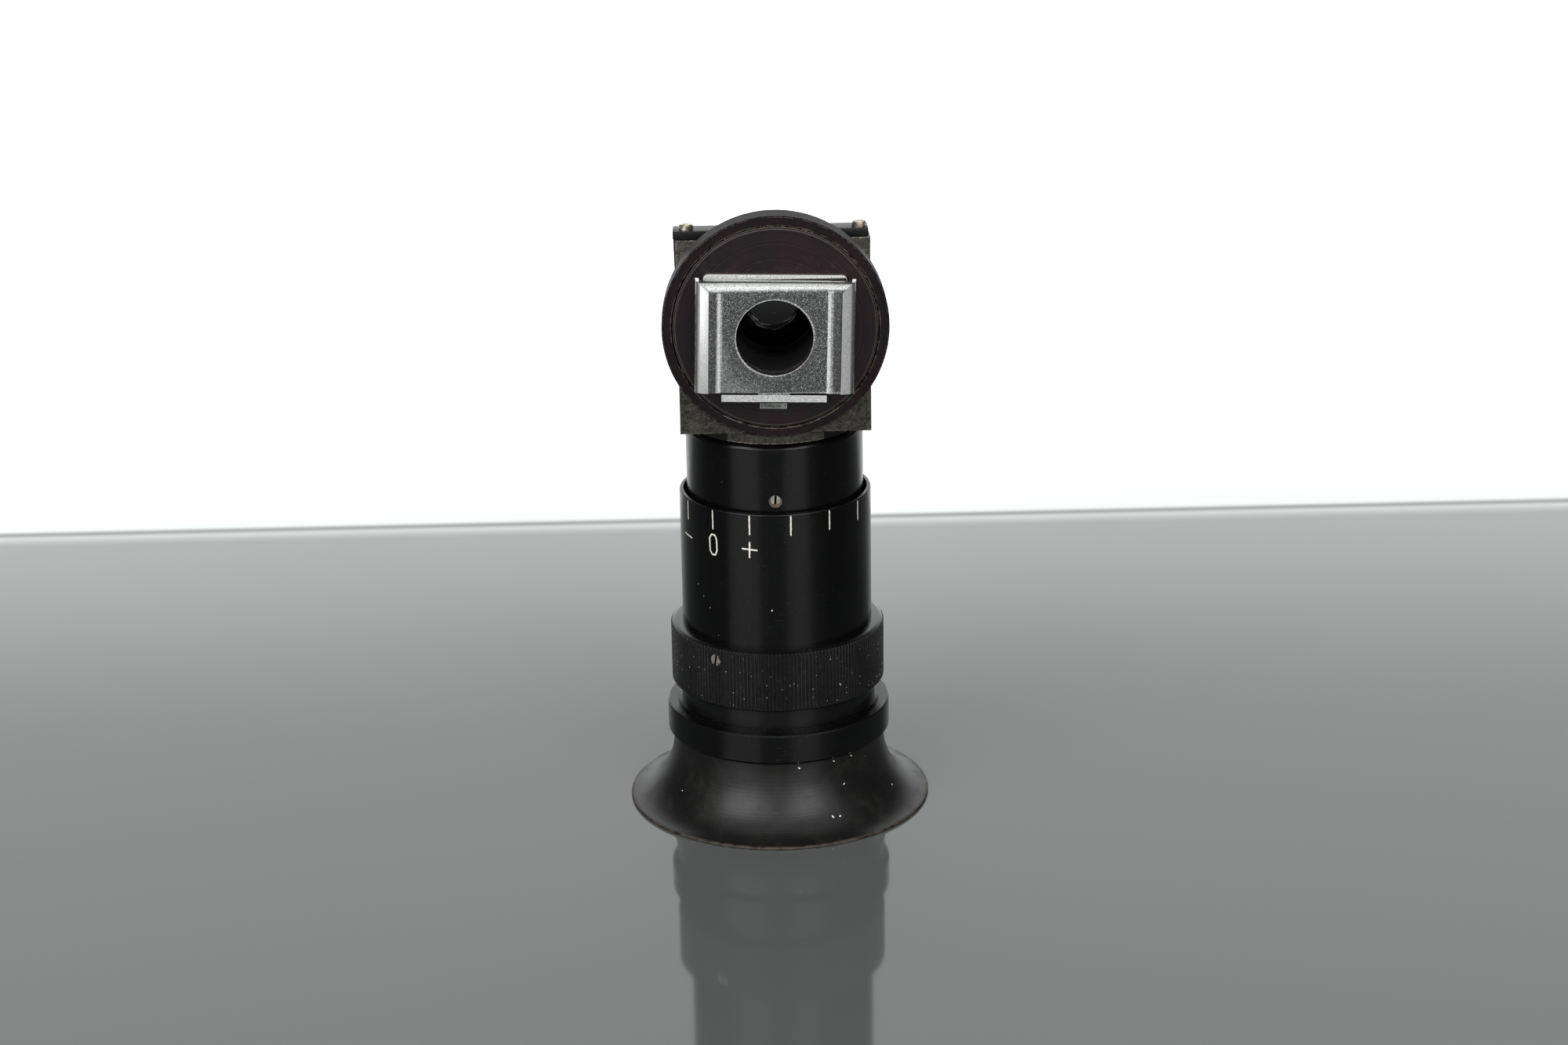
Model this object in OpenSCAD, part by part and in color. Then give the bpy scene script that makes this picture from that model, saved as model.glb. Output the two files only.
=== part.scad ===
// Right-angle viewfinder attachment for a reflex camera.
// It stands upside down on its eyecup: the eyepiece tube is vertical, the prism housing is on top
// and the camera shoe faces -Y. Origin: centre of the eyecup's lip, on the surface it stands on.

/* [Line of sight] */
// Height of the horizontal line of sight above the lip of the eyecup
sight_z = 89; // [88.8:0.1:89.2]

/* [Eyecup] */
// Radius of the eyecup's lip
cup_lip_r = 25.6; // [25.2:0.1:26.4]
// Height of the eyecup up to the clamping ring
cup_h = 12.2; // [12.1:0.05:12.3]
// Radius of the eyecup's neck
cup_neck_r = 17.9; // [17.7:0.1:18.2]
// Thickness of the lip
cup_lip_t = 0.5; // [0.4:0.1:0.8]
// Radius of the ring that clamps the eyecup
cup_ring_r = 18.85; // [18.6:0.05:19.2]
// Height of the top face of that ring
cup_ring_top = 17.5; // [17.3:0.1:17.7]

/* [Eyepiece barrel] */
// Radius of the barrel's threaded skirt, seen as the neck above the eyecup ring
skirt_r = 16.4; // [16.3:0.05:16.45]
// Radius of the long inner part of the barrel that slides in the tube
barrel_r = 13; // [12.9:0.05:13]
// Height of the upper end of the barrel
barrel_top = 60; // [59:0.5:60.5]
// Radius of the eye lens
eye_lens_r = 10.5; // [10.2:0.1:10.5]
// Radius of the field lens
field_lens_r = 11.8; // [11.5:0.1:11.8]

/* [Dioptre ring] */
// Outer radius of the knurled ring
knurl_r = 18; // [17.8:0.1:18.3]
// Height of the knurled ring's lower face
knurl_z0 = 21.4; // [21.2:0.1:21.6]
// Height of the knurled ring's upper face
knurl_z1 = 31.9; // [31.7:0.05:32.1]
// Outer radius of the dioptre sleeve
sleeve_r = 15.96; // [15.8:0.02:16.1]
// Height of the upper rim of the dioptre sleeve
sleeve_top = 55.15; // [54.5:0.05:55.2]

/* [Tube] */
// Outer radius of the fixed tube
tube_r = 14.7; // [14.6:0.05:14.7]
// Height of the tube's upper shoulder
tube_top = 66.5; // [66.5:0.1:66.7]
// Height of the guide screw's axis
guide_z = 57; // [56.9:0.1:57.1]

/* [Prism housing] */
// Half the width of the housing
box_half = 15.35; // [15.2:0.05:15.6]
// Height of the housing's underside
box_z0 = 68.9; // [68.8:0.1:69]
// Height of the housing's front wall
box_z1 = 100.7; // [100.6:0.1:100.7]
// Thickness of the cover plate
cover_t = 1.25; // [1.2:0.05:1.25]
// How far the cover plate stands out past the housing at each side
cover_lap = 0.05; // [0:0.05:0.2]
// Depth of the flat ledge of the cover, before it bends down at 45 degrees
ledge = 4.35; // [4.3:0.05:4.35]

/* [Swivel] */
// Radius of the round flange that holds the swivelling disc
flange_r = 17.71; // [17.5:0.05:18]
// Distance from the tube's axis forward to the flange's front face
flange_front = 25.9; // [25.8:0.1:26]
// Depth of the flange
flange_depth = 5; // [4.8:0.1:5]
// Radius of the swivelling disc
disc_r = 15.95; // [15.8:0.05:16]
// Radial gap between the disc and the flange
disc_gap = 0.25; // [0.2:0.05:0.4]

/* [Shoe] */
// Outer width of the shoe
shoe_w = 24.7; // [24.6:0.1:25.4]
// Thickness of the shoe's sheet steel
sheet = 0.6; // [0.5:0.05:0.7]
// Clear depth of the two channels
channel = 1.3; // [1.2:0.1:1.5]
// Width of the lips that close the channels
lip_w = 2.1; // [1.6:0.1:2.2]
// Radius of the sight hole
hole_r = 6; // [5.6:0.1:6.1]
// Angle that the shoe is turned by at rest, clockwise as seen from the shoe side
shoe_turn = 1.6; // [-5:0.1:5]

/* [Hidden] */

$fn = 96;
eps = 0.01;          // overshoot of a cut past the face that it opens
fit = 0.05;          // radial clearance of the running fits
seat = 0.01;         // clearance of a piece that is seated or screwed home

// ---- eyecup and eyepiece barrel ----
cup_curve_r = 8.0;                        // width of the elliptic flare
cup_curve_h = cup_h - 0.7 - cup_lip_t;    // height of the elliptic flare
cup_foot_w = 1.2;                         // width of the flat foot under the lip
cup_spigot_r = 17.2;                      // spigot of the cup inside its ring
cup_spigot_z = 14.2;
cup_throat_r = 14.2;
cup_lip_round = 0.25;                     // rounding of the lip's outer edge
cup_inner_h = cup_h - 1.8;                // height of the flare inside the cup
ring_bevel = 0.6;                         // bevel of the ring's lower edge
ring_edge = 0.2;                          // bevel of the ring's upper edge
ring_step_r = 17.1;                       // small raised step on the ring's top face
ring_step_h = 0.45;
web_z0 = cup_spigot_z + seat;             // underside of the barrel's web
web_z1 = 16.2;
skirt_in = skirt_r - 0.8;
lens_ledge = 0.8;                         // width of the shoulder under a lens
skirt_top = 24.6;
lens_seat_z = 20;                         // shoulder that the eye lens rests on
lens_seat_t = 1.5;
barrel_in = barrel_r - 1.1;
spacer_t = 0.9;
field_lens_z = 40;
field_lens_edge = 2.6;                    // thickness at the edge, and height of the domed side above it
field_lens_crown = 1.4;
eye_lens_edge = 2.4;
eye_lens_crown = 1.1;
slot_w = 1.6;                             // guide slot in the barrel's wall
slot_z0 = guide_z - 4.4;
slot_z1 = guide_z + 2.3;

// ---- dioptre ring ----
knurl_bore = skirt_r + fit;
knurl_step_z = 28.45;                     // step between the threaded bore and the sleeve's seat
knurl_bevel = 0.7;                        // width and height of the bevel at the upper edge
knurl_bevel_h = 0.45;
knurl_chamfer = 0.4;                      // chamfer of the lower edge
set_screw_sink = 0.45;                    // depth of the set screws in their holes
set_screw_z = 29.45;
set_screw_angles = [-37, 83, 203];
set_screw_r = 1.0;
sleeve_bottom = 28.5;
sleeve_in = sleeve_r - 0.76;
sleeve_round = 0.3;                       // rounding of the upper rim
land_top = 33.5;                          // top of the narrow land that runs on the tube
land_r = tube_r + fit;
bush_z0 = 45;
bush_z1 = 49;

// ---- tube ----
tube_in = barrel_r + fit;
tube_z0 = 20.6;
tube_neck_z = 65;
tube_round = 1;                           // rounding of the upper shoulder
spigot_r = 10.6;
spigot_in = 9.4;
spigot_top = 72.7;
lock_ring_r = 11.5;
collar_r = tube_r + 0.5;
collar_z0 = 27.4;
guide_screw_r = 0.8;
guide_bore_r = 1;                         // counterbore above the screw
guide_angle = -1;                         // where the guide screw sits, from the front towards +X
guide_tip_r = 0.7;
guide_tip = 12.15;                        // radius that the screw's tip reaches
guide_sink = 0.8;                         // depth of that counterbore

// ---- prism housing ----
neck_under_r = 14;                        // round collar under the housing
floor_z = 71.5;
cover_gap = 0.15;                         // gap between the front wall and the cover
cover_shift = 0.35;                       // how far the cover sits off centre, towards -X
cover_z1 = box_z1 + cover_gap + cover_t;
bend_y = ledge - box_half;                // where the cover bends down
slope_top = cover_z1 + bend_y;            // the cover's outer slope is z = slope_top - y
slope_under = slope_top - cover_t * sqrt(2);
cavity_half = 12.5;
cavity_front = -11.55;
cavity_back = 13.35;
prism_leg = 11.2;                         // half the side of the prism's square faces
prism_half_w = 12;
cradle_t = 2.3;
cradle_half_w = 12.4;
cradle_legs_x = [-10.9, 10.9];
cradle_legs_y = [-9.7, 9.7];
cradle_leg_r = 1.2;
pad_w = 2.5;                              // felt strips behind the prism
pad_x = [-11.7, 9.2];
pad_l = 27;
screw_head_r = 1.15;                      // cheese head of an M1.2 screw
screw_head_h = 0.8;
screw_r = 0.6;
screw_hole_r = 0.7;
screw_edge = 0.2;                         // bevel round a screw's head
screw_slot_w = 0.32;
screw_slot_h = 0.4;
grub_slot_w = 0.36;
grub_slot_h = 0.5;
guide_slot_turn = 86;                     // angle of the slot in each grub screw
set_slot_turn = 80;
screw_x = 13.65;
screw_front_y = -13.4;
screw_back_y = 11.6;

// ---- swivel, all measured forward from the tube's axis ----
flange_back = flange_front - flange_depth;
flange_floor = flange_back + 1.5;
flange_in = disc_r + disc_gap;
front_neck_r = 12.6;
hub_r = 8.5;
hub_in = 7;
hub_end = 18.7;
recess_r = 10.4;
recess_floor = 18.5;
lens_bore_r = 8.4;
lens_bore_floor = 13.2;
lens_stop_r = 7.2;
objective_r = lens_bore_r - seat;
objective_edge = 2.2;
objective_crown = 0.9;
washer_t = 0.12;
disc_back = flange_floor + 0.15;
disc_front = flange_front + 0.1;
flange_screw_at = 11.5;
flange_screw_angles = [30, 150, 270];
flange_sink = 0.5;                        // depth of the counterbores for the flange screws
flange_chamfer = 0.5;
flange_edge = 0.2;
disc_edge = 0.3;

// ---- shoe ----
shoe_shift = 0.2;                         // how far the shoe sits off centre, towards -X
base_front = disc_front + sheet;
base_half_w = 11.1;
base_z1 = 97.6;
base_z0 = 80;
base_tab_w = 4.2;
base_tab_z = 76.2;
base_screw_x = 9.2;
base_screw_dz = 6;
base_corner_r = 0.8;
base_screw_r = 0.7;
base_screw_head_r = 1.3;
panel_back = base_front + 1.6;
panel_front = panel_back + sheet;
panel_half = 8.1;
shoulder_w = 1;                           // curved step between the panel and the channels' floors
shoulder_slope = 28;                      // its slope where it leaves the panel
shoulder_r = shoulder_w / sin(shoulder_slope);
shoulder = shoulder_r * (1 - cos(shoulder_slope));
floor_front = panel_front + shoulder;
lip_back = floor_front + channel;
lip_front = lip_back + sheet;
panel_z0 = 79.35;
panel_z1 = 95.4;
panel_bend_r = 1.5;
rail_z0 = 79.8;
rail_z1 = 97.7;
hole_z = sight_z - 0.85;
stop_half = 8.15;                         // stop bar at the lower end of the shoe
stop_h = 1.1;                             // the bar slants forward, down from the panel's lower edge
stop_tilt = 35;
stop_top = panel_z0 - 0.35;
tongue_half = 2.45;
tongue_z0 = stop_top - 0.4;
spacer_z0 = 80.5;
spacer_half = 7.8;
bend_r = 1.1;                             // outer radius of the bends where the lips begin
lip_splay = 15;                           // angle by which each lip leans forward towards its free edge
lip_drop = 0.2;                           // how far the bends lie behind the middle of the lips
roll_steps = 5;                           // strips in which the rolled top edge follows the shoulder
back_bend_r = 0.7;                        // and of the bends at the back of the channels
spacer_bore = hole_r + 0.1;
lip_cut = 1.9;                            // height of the slanted upper end of each lip

// Points of an arc or of a quarter ellipse
function arc(cx, cy, rx, ry, a0, a1, n = 16) =
    [for (i = [0 : n]) let (a = a0 + (a1 - a0) * i / n) [cx + rx * cos(a), cy + ry * sin(a)]];

// Height of a lens's domed face at radius r, where the face starts at z0 at radius edge_r
function dome(edge_r, r, z0, crown) = z0 + crown * (1 - pow(r / edge_r, 2));

// Points of that face from its edge to its middle
function dome_points(edge_r, z0, crown, n = 12) =
    [for (i = [0 : n]) let (r = edge_r * (1 - i / n)) [r, dome(edge_r, r, z0, crown)]];

module spin(points) {
    rotate_extrude() polygon(points);
}

module ring(r_out, r_in, z0, z1) {
    spin([[r_in, z0], [r_out, z0], [r_out, z1], [r_in, z1]]);
}

// Draws its children along the line of sight: local +Z points forward, out of the shoe
module forward() {
    translate([0, 0, sight_z]) rotate([90, 0, 0]) children();
}

// The same for the pieces of the shoe, which are off centre and turned by shoe_turn
module forward_turned() {
    forward() rotate([0, 0, -shoe_turn]) translate([-shoe_shift, 0, 0]) children();
}

// A slotted cheese-head screw whose head rests on z = 0
module cheese_screw(length, r = screw_r, head_r = screw_head_r, head_h = screw_head_h) {
    difference() {
        union() {
            spin([
                [0, 0], [head_r, 0], [head_r, head_h - screw_edge], [head_r - screw_edge, head_h],
                [0, head_h]
            ]);
            translate([0, 0, -length]) cylinder(r = r, h = length + eps);
        }
        translate([-head_r - 1, -screw_slot_w / 2, head_h - screw_slot_h])
            cube([2 * head_r + 2, screw_slot_w, 1]);
    }
}

// A headless slotted screw with its outer end at z = 0 and its slot along local X
module grub_screw(r, length) {
    difference() {
        translate([0, 0, -length]) cylinder(r = r, h = length);
        translate([-r - 1, -grub_slot_w / 2, -grub_slot_h]) cube([2 * r + 2, grub_slot_w, 1]);
    }
}

// Points radially outward at an angle counted from the front towards +X
module radial(angle, r, z) {
    rotate([0, 0, angle]) translate([0, -r, z]) rotate([90, 0, 0]) children();
}

// ================= eyepiece =================

module eyecup() {
    color("#262628") spin(concat(
        [[cup_lip_r - cup_foot_w, 0], [cup_lip_r - 0.15, 0]],
        arc(cup_lip_r - cup_lip_round, cup_lip_t / 2, cup_lip_round, cup_lip_t / 2, -60, 80, 6),
        arc(cup_lip_r + 0.3, cup_lip_t + cup_curve_h, cup_curve_r, cup_curve_h, -95, -180, 24),
        [[cup_neck_r, cup_h], [cup_spigot_r, cup_h], [cup_spigot_r, cup_spigot_z]],
        [[cup_throat_r, cup_spigot_z], [cup_throat_r, cup_h]],
        arc(cup_lip_r - cup_foot_w, cup_inner_h, cup_curve_r, cup_inner_h, -180, -93, 24)
    ));
}

module eyecup_ring() {
    color("#1d1d1f") spin([
        [cup_spigot_r + seat, cup_h + seat], [cup_ring_r - ring_bevel, cup_h + seat],
        [cup_ring_r, cup_h + ring_bevel], [cup_ring_r, cup_ring_top - ring_edge],
        [cup_ring_r - ring_edge, cup_ring_top], [ring_step_r, cup_ring_top],
        [ring_step_r, cup_ring_top + ring_step_h], [skirt_r + seat, cup_ring_top + ring_step_h],
        [skirt_r + seat, cup_spigot_z + seat], [cup_spigot_r + seat, cup_spigot_z + seat]
    ]);
}

module ocular_barrel() {
    color("#232325") difference() {
        spin([
            [eye_lens_r + seat, web_z0], [skirt_r, web_z0], [skirt_r, skirt_top], [skirt_in, skirt_top],
            [skirt_in, web_z1], [barrel_r, web_z1], [barrel_r, barrel_top], [barrel_in, barrel_top],
            [barrel_in, lens_seat_z + lens_seat_t], [eye_lens_r - lens_ledge, lens_seat_z + lens_seat_t],
            [eye_lens_r - lens_ledge, lens_seat_z], [eye_lens_r + seat, lens_seat_z]
        ]);
        // guide slot for the tip of the guide screw
        rotate([0, 0, guide_angle]) translate([-slot_w / 2, -barrel_r - 1, slot_z0])
            cube([slot_w, 3, slot_z1 - slot_z0]);
    }
}

module eye_lens() {
    z1 = lens_seat_z - seat;
    color("#cfe0ea") spin(concat(
        [[0, z1], [eye_lens_r, z1]],
        dome_points(eye_lens_r, z1 - eye_lens_edge, -eye_lens_crown)
    ));
}

module eye_lens_ring() {
    inner_r = eye_lens_r - 1.3;
    z0 = web_z0 + 0.4;
    z1 = dome(eye_lens_r, inner_r, lens_seat_z - seat - eye_lens_edge, -eye_lens_crown) - seat;
    color("#1b1b1c") spin([
        [inner_r + 0.6, z0], [eye_lens_r, z0], [eye_lens_r, z1], [inner_r, z1], [inner_r, z0 + 0.6]
    ]);
}

module lens_spacer() {
    z0 = lens_seat_z + lens_seat_t + seat;
    color("#1b1b1c") ring(field_lens_r, field_lens_r - spacer_t, z0, field_lens_z - seat);
}

module field_lens() {
    color("#cfe0ea") spin(concat(
        [[0, field_lens_z + 0.2], [field_lens_r - 0.9, field_lens_z], [field_lens_r, field_lens_z]],
        dome_points(field_lens_r, field_lens_z + field_lens_edge, field_lens_crown)
    ));
}

module field_lens_ring() {
    inner_r = field_lens_r - 1.2;
    z0 = dome(field_lens_r, inner_r, field_lens_z + field_lens_edge, field_lens_crown) + seat;
    color("#1b1b1c") ring(field_lens_r, inner_r, z0, z0 + 2.2);
}

module field_stop() {
    color("#161617") ring(field_lens_r, 8, 50.5, 51.3);
}

// ================= dioptre ring =================

module knurled_ring() {
    color("#202022") difference() {
        spin([
            [knurl_bore, knurl_z0], [knurl_r - knurl_chamfer, knurl_z0],
            [knurl_r, knurl_z0 + knurl_chamfer], [knurl_r, knurl_z1 - knurl_bevel_h],
            [knurl_r - knurl_bevel, knurl_z1], [sleeve_r + seat, knurl_z1],
            [sleeve_r + seat, knurl_step_z], [knurl_bore, knurl_step_z]
        ]);
        for (a = set_screw_angles)
            radial(a, sleeve_r - 0.5, set_screw_z) cylinder(r = set_screw_r + seat, h = 5);
    }
}

module ring_set_screws() {
    outer_r = knurl_r - set_screw_sink;
    color("#b9a98a") for (a = set_screw_angles)
        radial(a, outer_r, set_screw_z) rotate([0, 0, set_slot_turn])
            grub_screw(set_screw_r - seat, outer_r - sleeve_r - 0.05);
}

module dioptre_sleeve() {
    color("#1c1c1e") spin(concat(
        [[land_r, sleeve_bottom], [sleeve_r, sleeve_bottom], [sleeve_r, sleeve_top - sleeve_round]],
        arc(sleeve_r - sleeve_round, sleeve_top - sleeve_round, sleeve_round, sleeve_round, 0, 90, 5),
        [[sleeve_in + 0.12, sleeve_top], [sleeve_in, sleeve_top - 0.25], [sleeve_in, land_top]],
        [[land_r, land_top]]
    ));
}

module sleeve_bush() {
    color("#8d7a4a") ring(sleeve_in - seat, land_r, bush_z0, bush_z1);
}

// ================= housing =================

module fixed_tube() {
    color("#1a1a1c") difference() {
        spin(concat(
            [[tube_in, tube_z0], [tube_r, tube_z0], [tube_r, collar_z0], [collar_r, collar_z0]],
            [[collar_r, sleeve_bottom - fit], [tube_r, sleeve_bottom - fit], [tube_r, tube_top - tube_round]],
            arc(tube_r - tube_round, tube_top - tube_round, tube_round, tube_round, 0, 90, 8),
            [[spigot_r, tube_top], [spigot_r, spigot_top], [spigot_in, spigot_top]],
            [[spigot_in, tube_neck_z], [tube_in, tube_neck_z]]
        ));
        radial(guide_angle, tube_in - 1, guide_z) cylinder(r = guide_screw_r + seat, h = 4);
        radial(guide_angle, tube_r - guide_sink, guide_z) cylinder(r = guide_bore_r, h = 2);
    }
}

module sleeve_retainer() {
    color("#8d7a4a") ring(tube_r + 0.3, tube_r + seat, land_top + fit, land_top + 1.3);
}

module guide_screw() {
    outer_r = tube_r - guide_sink;
    color("#b9ac90") radial(guide_angle, outer_r, guide_z) union() {
        rotate([0, 0, guide_slot_turn]) grub_screw(guide_screw_r - seat, outer_r - tube_in - 0.1);
        translate([0, 0, guide_tip - outer_r]) cylinder(r = guide_tip_r, h = tube_in - guide_tip + 0.4);
    }
}

module tube_lock_ring() {
    color("#8d7a4a") ring(lock_ring_r, spigot_r + seat, floor_z + seat, spigot_top);
}

module housing_side_profile() {
    under = slope_under - 0.03;
    polygon([
        [-box_half, box_z0], [-box_half, box_z1], [under - box_z1, box_z1],
        [box_half, under - box_half], [box_half, box_z0]
    ]);
}

module extruded_across(half_w) {
    // turns an outline drawn in (y, z) into a solid that spans x = -half_w to half_w
    rotate([90, 0, 90]) translate([0, 0, -half_w]) linear_extrude(2 * half_w) children();
}

module prism_housing() {
    color("#57524c") difference() {
        union() {
            extruded_across(box_half) housing_side_profile();
            translate([0, 0, tube_top + seat]) cylinder(r = neck_under_r, h = box_z0 - tube_top + 1);
            forward() translate([0, 0, box_half])
                cylinder(r = front_neck_r, h = flange_back - box_half - seat);
        }
        // room for the prism, open towards the cover
        translate([-cavity_half, cavity_front, floor_z])
            cube([2 * cavity_half, cavity_back - cavity_front, box_z1]);
        translate([0, 0, tube_top - 1]) cylinder(r = spigot_r + seat, h = floor_z - tube_top + 2);
        forward() {
            translate([0, 0, -cavity_front - 1]) cylinder(r = lens_stop_r, h = flange_back);
            translate([0, 0, lens_bore_floor]) cylinder(r = lens_bore_r, h = flange_back);
            translate([0, 0, recess_floor]) cylinder(r = recess_r, h = flange_back);
            for (a = flange_screw_angles)
                rotate([0, 0, a]) translate([flange_screw_at, 0, flange_back - 4])
                    cylinder(r = screw_r + seat, h = 5, $fn = 32);
        }
        for (s = [-1, 1]) {
            translate([s * screw_x, screw_front_y, box_z1 - 4.2])
                cylinder(r = screw_r + seat, h = 5, $fn = 32);
            on_slope(s * screw_x, screw_back_y) translate([0, 0, -5.2])
                cylinder(r = screw_r + seat, h = 6, $fn = 32);
        }
    }
}

// A place on the sloping outside of the cover, with local +Z pointing out of it
module on_slope(x, y) {
    translate([x, y, slope_top - y]) rotate([-45, 0, 0]) children();
}

module cover_plate() {
    back_y = box_half + cover_lap;
    front_y = -box_half;
    under_bend_y = slope_under - (cover_z1 - cover_t);
    color("#2a2a2b") difference() {
        translate([-cover_shift, 0, 0]) extruded_across(box_half + cover_lap) polygon([
            [front_y, cover_z1 - cover_t], [front_y, cover_z1], [bend_y, cover_z1],
            [back_y, slope_top - back_y], [back_y, slope_under - back_y], [under_bend_y, cover_z1 - cover_t]
        ]);
        for (s = [-1, 1]) {
            translate([s * screw_x, screw_front_y, cover_z1 - 3])
                cylinder(r = screw_hole_r, h = 5, $fn = 32);
            on_slope(s * screw_x, screw_back_y) translate([0, 0, -3])
                cylinder(r = screw_hole_r, h = 5, $fn = 32);
        }
    }
}

module cover_screws() {
    color("#b3a68d") {
        translate([-screw_x, screw_front_y, cover_z1 + seat]) rotate([0, 0, 62]) cheese_screw(5);
        translate([screw_x, screw_front_y, cover_z1 + seat]) rotate([0, 0, -18]) cheese_screw(5);
        on_slope(-screw_x, screw_back_y) translate([0, 0, seat]) rotate([0, 0, 40]) cheese_screw(5);
        on_slope(screw_x, screw_back_y) translate([0, 0, seat]) rotate([0, 0, 115]) cheese_screw(5);
    }
}

module prism() {
    z0 = sight_z - prism_leg;
    z1 = sight_z + prism_leg;
    b = 0.3;                              // bevel of the sharp edges
    color("#d5e4ec") extruded_across(prism_half_w) polygon([
        [-prism_leg, z0], [prism_leg - 2 * b, z0], [prism_leg - b, z0 + b], [b - prism_leg, z1 - b],
        [-prism_leg, z1 - 2 * b]
    ]);
}

module prism_cradle() {
    z1 = sight_z - prism_leg - seat;
    color("#232325") difference() {
        union() {
            translate([-cradle_half_w, -prism_leg - 0.2, z1 - cradle_t])
                cube([2 * cradle_half_w, 2 * prism_leg + 0.2, cradle_t]);
            for (x = cradle_legs_x, y = cradle_legs_y)
                translate([x, y, floor_z + seat]) cylinder(r = cradle_leg_r, h = z1 - floor_z - 1);
        }
        translate([0, 0, z1 - cradle_t - 1]) cylinder(r = spigot_in + 0.2, h = cradle_t + 2);
    }
}

module prism_pads() {
    // felt strips between the prism's mirror face and the cover
    t = (slope_under - sight_z) / sqrt(2) - 0.03;
    color("#303030") for (x = pad_x)
        translate([x, 0, sight_z]) rotate([-45, 0, 0]) translate([0, -pad_l / 2, 0.015])
            cube([pad_w, pad_l, t]);
}

module flange_cup() {
    color("#2b2426") forward() difference() {
        spin([
            [hub_r + fit, flange_back], [flange_r - flange_chamfer, flange_back],
            [flange_r, flange_back + flange_chamfer], [flange_r, flange_front - flange_edge],
            [flange_r - flange_edge, flange_front], [flange_in + 0.1, flange_front],
            [flange_in, flange_front - 0.1], [flange_in, flange_floor], [hub_r + fit, flange_floor]
        ]);
        for (a = flange_screw_angles)
            rotate([0, 0, a]) translate([flange_screw_at, 0, flange_back]) {
                translate([0, 0, -1]) cylinder(r = screw_hole_r, h = 5, $fn = 32);
                translate([0, 0, flange_sink]) cylinder(r = screw_head_r + 0.1, h = 5, $fn = 32);
            }
    }
}

module flange_screws() {
    color("#a9a294") forward() for (a = flange_screw_angles)
        rotate([0, 0, a]) translate([flange_screw_at, 0, flange_back + flange_sink + seat]) cheese_screw(4);
}

module objective_lens() {
    h0 = lens_bore_floor + seat;
    color("#cfe0ea") forward() spin(concat(
        [[0, h0 + 0.3], [lens_stop_r, h0], [objective_r, h0]],
        dome_points(objective_r, h0 + objective_edge, objective_crown)
    ));
}

module objective_ring() {
    inner_r = lens_stop_r - 0.3;
    h0 = dome(objective_r, inner_r, lens_bore_floor + seat + objective_edge, objective_crown) + seat;
    color("#1b1b1c") forward() ring(objective_r, inner_r, h0, h0 + 2);
}

module swivel_washer() {
    color("#6b3a24") forward() ring(15.5, 13.2, flange_floor + seat, flange_floor + washer_t);
}

// ================= swivelling shoe =================

module swivel_disc() {
    color("#2c2426") difference() {
        forward() spin([
            [hub_in, hub_end], [hub_r, hub_end], [hub_r, disc_back], [disc_r, disc_back],
            [disc_r, disc_front - disc_edge], [disc_r - disc_edge, disc_front], [hub_in, disc_front]
        ]);
        forward_turned() for (x = [-base_screw_x, base_screw_x], y = [-base_screw_dz, base_screw_dz])
            translate([x, y, disc_front - 2.6]) cylinder(r = base_screw_r + seat, h = 4, $fn = 32);
    }
}

module hub_ring() {
    color("#8d7a4a") forward() ring(hub_r + 1.6, hub_r + seat, hub_end + 0.5, flange_back - fit);
}

// Outline of the base plate: a rectangle with two round upper corners and a tab below
module base_outline() {
    r = base_corner_r;
    translate([-base_half_w, base_z0]) square([2 * base_half_w, base_z1 - base_z0 - r]);
    translate([r - base_half_w, base_z0]) square([2 * (base_half_w - r), base_z1 - base_z0]);
    for (s = [-1, 1])
        translate([s * (base_half_w - r), base_z1 - r]) circle(r = r, $fn = 32);
    translate([-base_tab_w / 2, base_tab_z]) square([base_tab_w, base_z0 - base_tab_z + 1]);
}

module base_plate() {
    color("#b9b9b7") forward_turned() difference() {
        translate([0, 0, disc_front + seat]) linear_extrude(sheet - 2 * seat)
            translate([0, -sight_z]) base_outline();
        translate([0, hole_z - sight_z, 0]) cylinder(r = spacer_bore, h = 40);
        for (x = [-base_screw_x, base_screw_x], y = [-base_screw_dz, base_screw_dz])
            translate([x, y, 0]) cylinder(r = base_screw_r + 0.1, h = 40, $fn = 32);
    }
}

module base_screws() {
    color("#a9a294") forward_turned()
        for (x = [-base_screw_x, base_screw_x], y = [-base_screw_dz, base_screw_dz])
            translate([x, y, base_front + seat]) rotate([0, 0, 3 * x + 7 * y])
                cheese_screw(3, base_screw_r, base_screw_head_r, 0.7);
}

module shoe_spacer() {
    color("#2c2224") forward_turned() translate([0, 0, base_front + seat])
        linear_extrude(panel_back - base_front - 2 * seat) difference() {
            translate([-spacer_half, spacer_z0 - sight_z])
                square([2 * spacer_half, panel_z1 - 0.3 - spacer_z0]);
            translate([0, hole_z - sight_z]) circle(r = spacer_bore);
        }
}

// Front of the sheet at a distance x from the panel, over the shoulder
function shoulder_front(x) =
    floor_front - shoulder_r * (1 - cos(asin((shoulder_w - x) / shoulder_r)));

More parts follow.
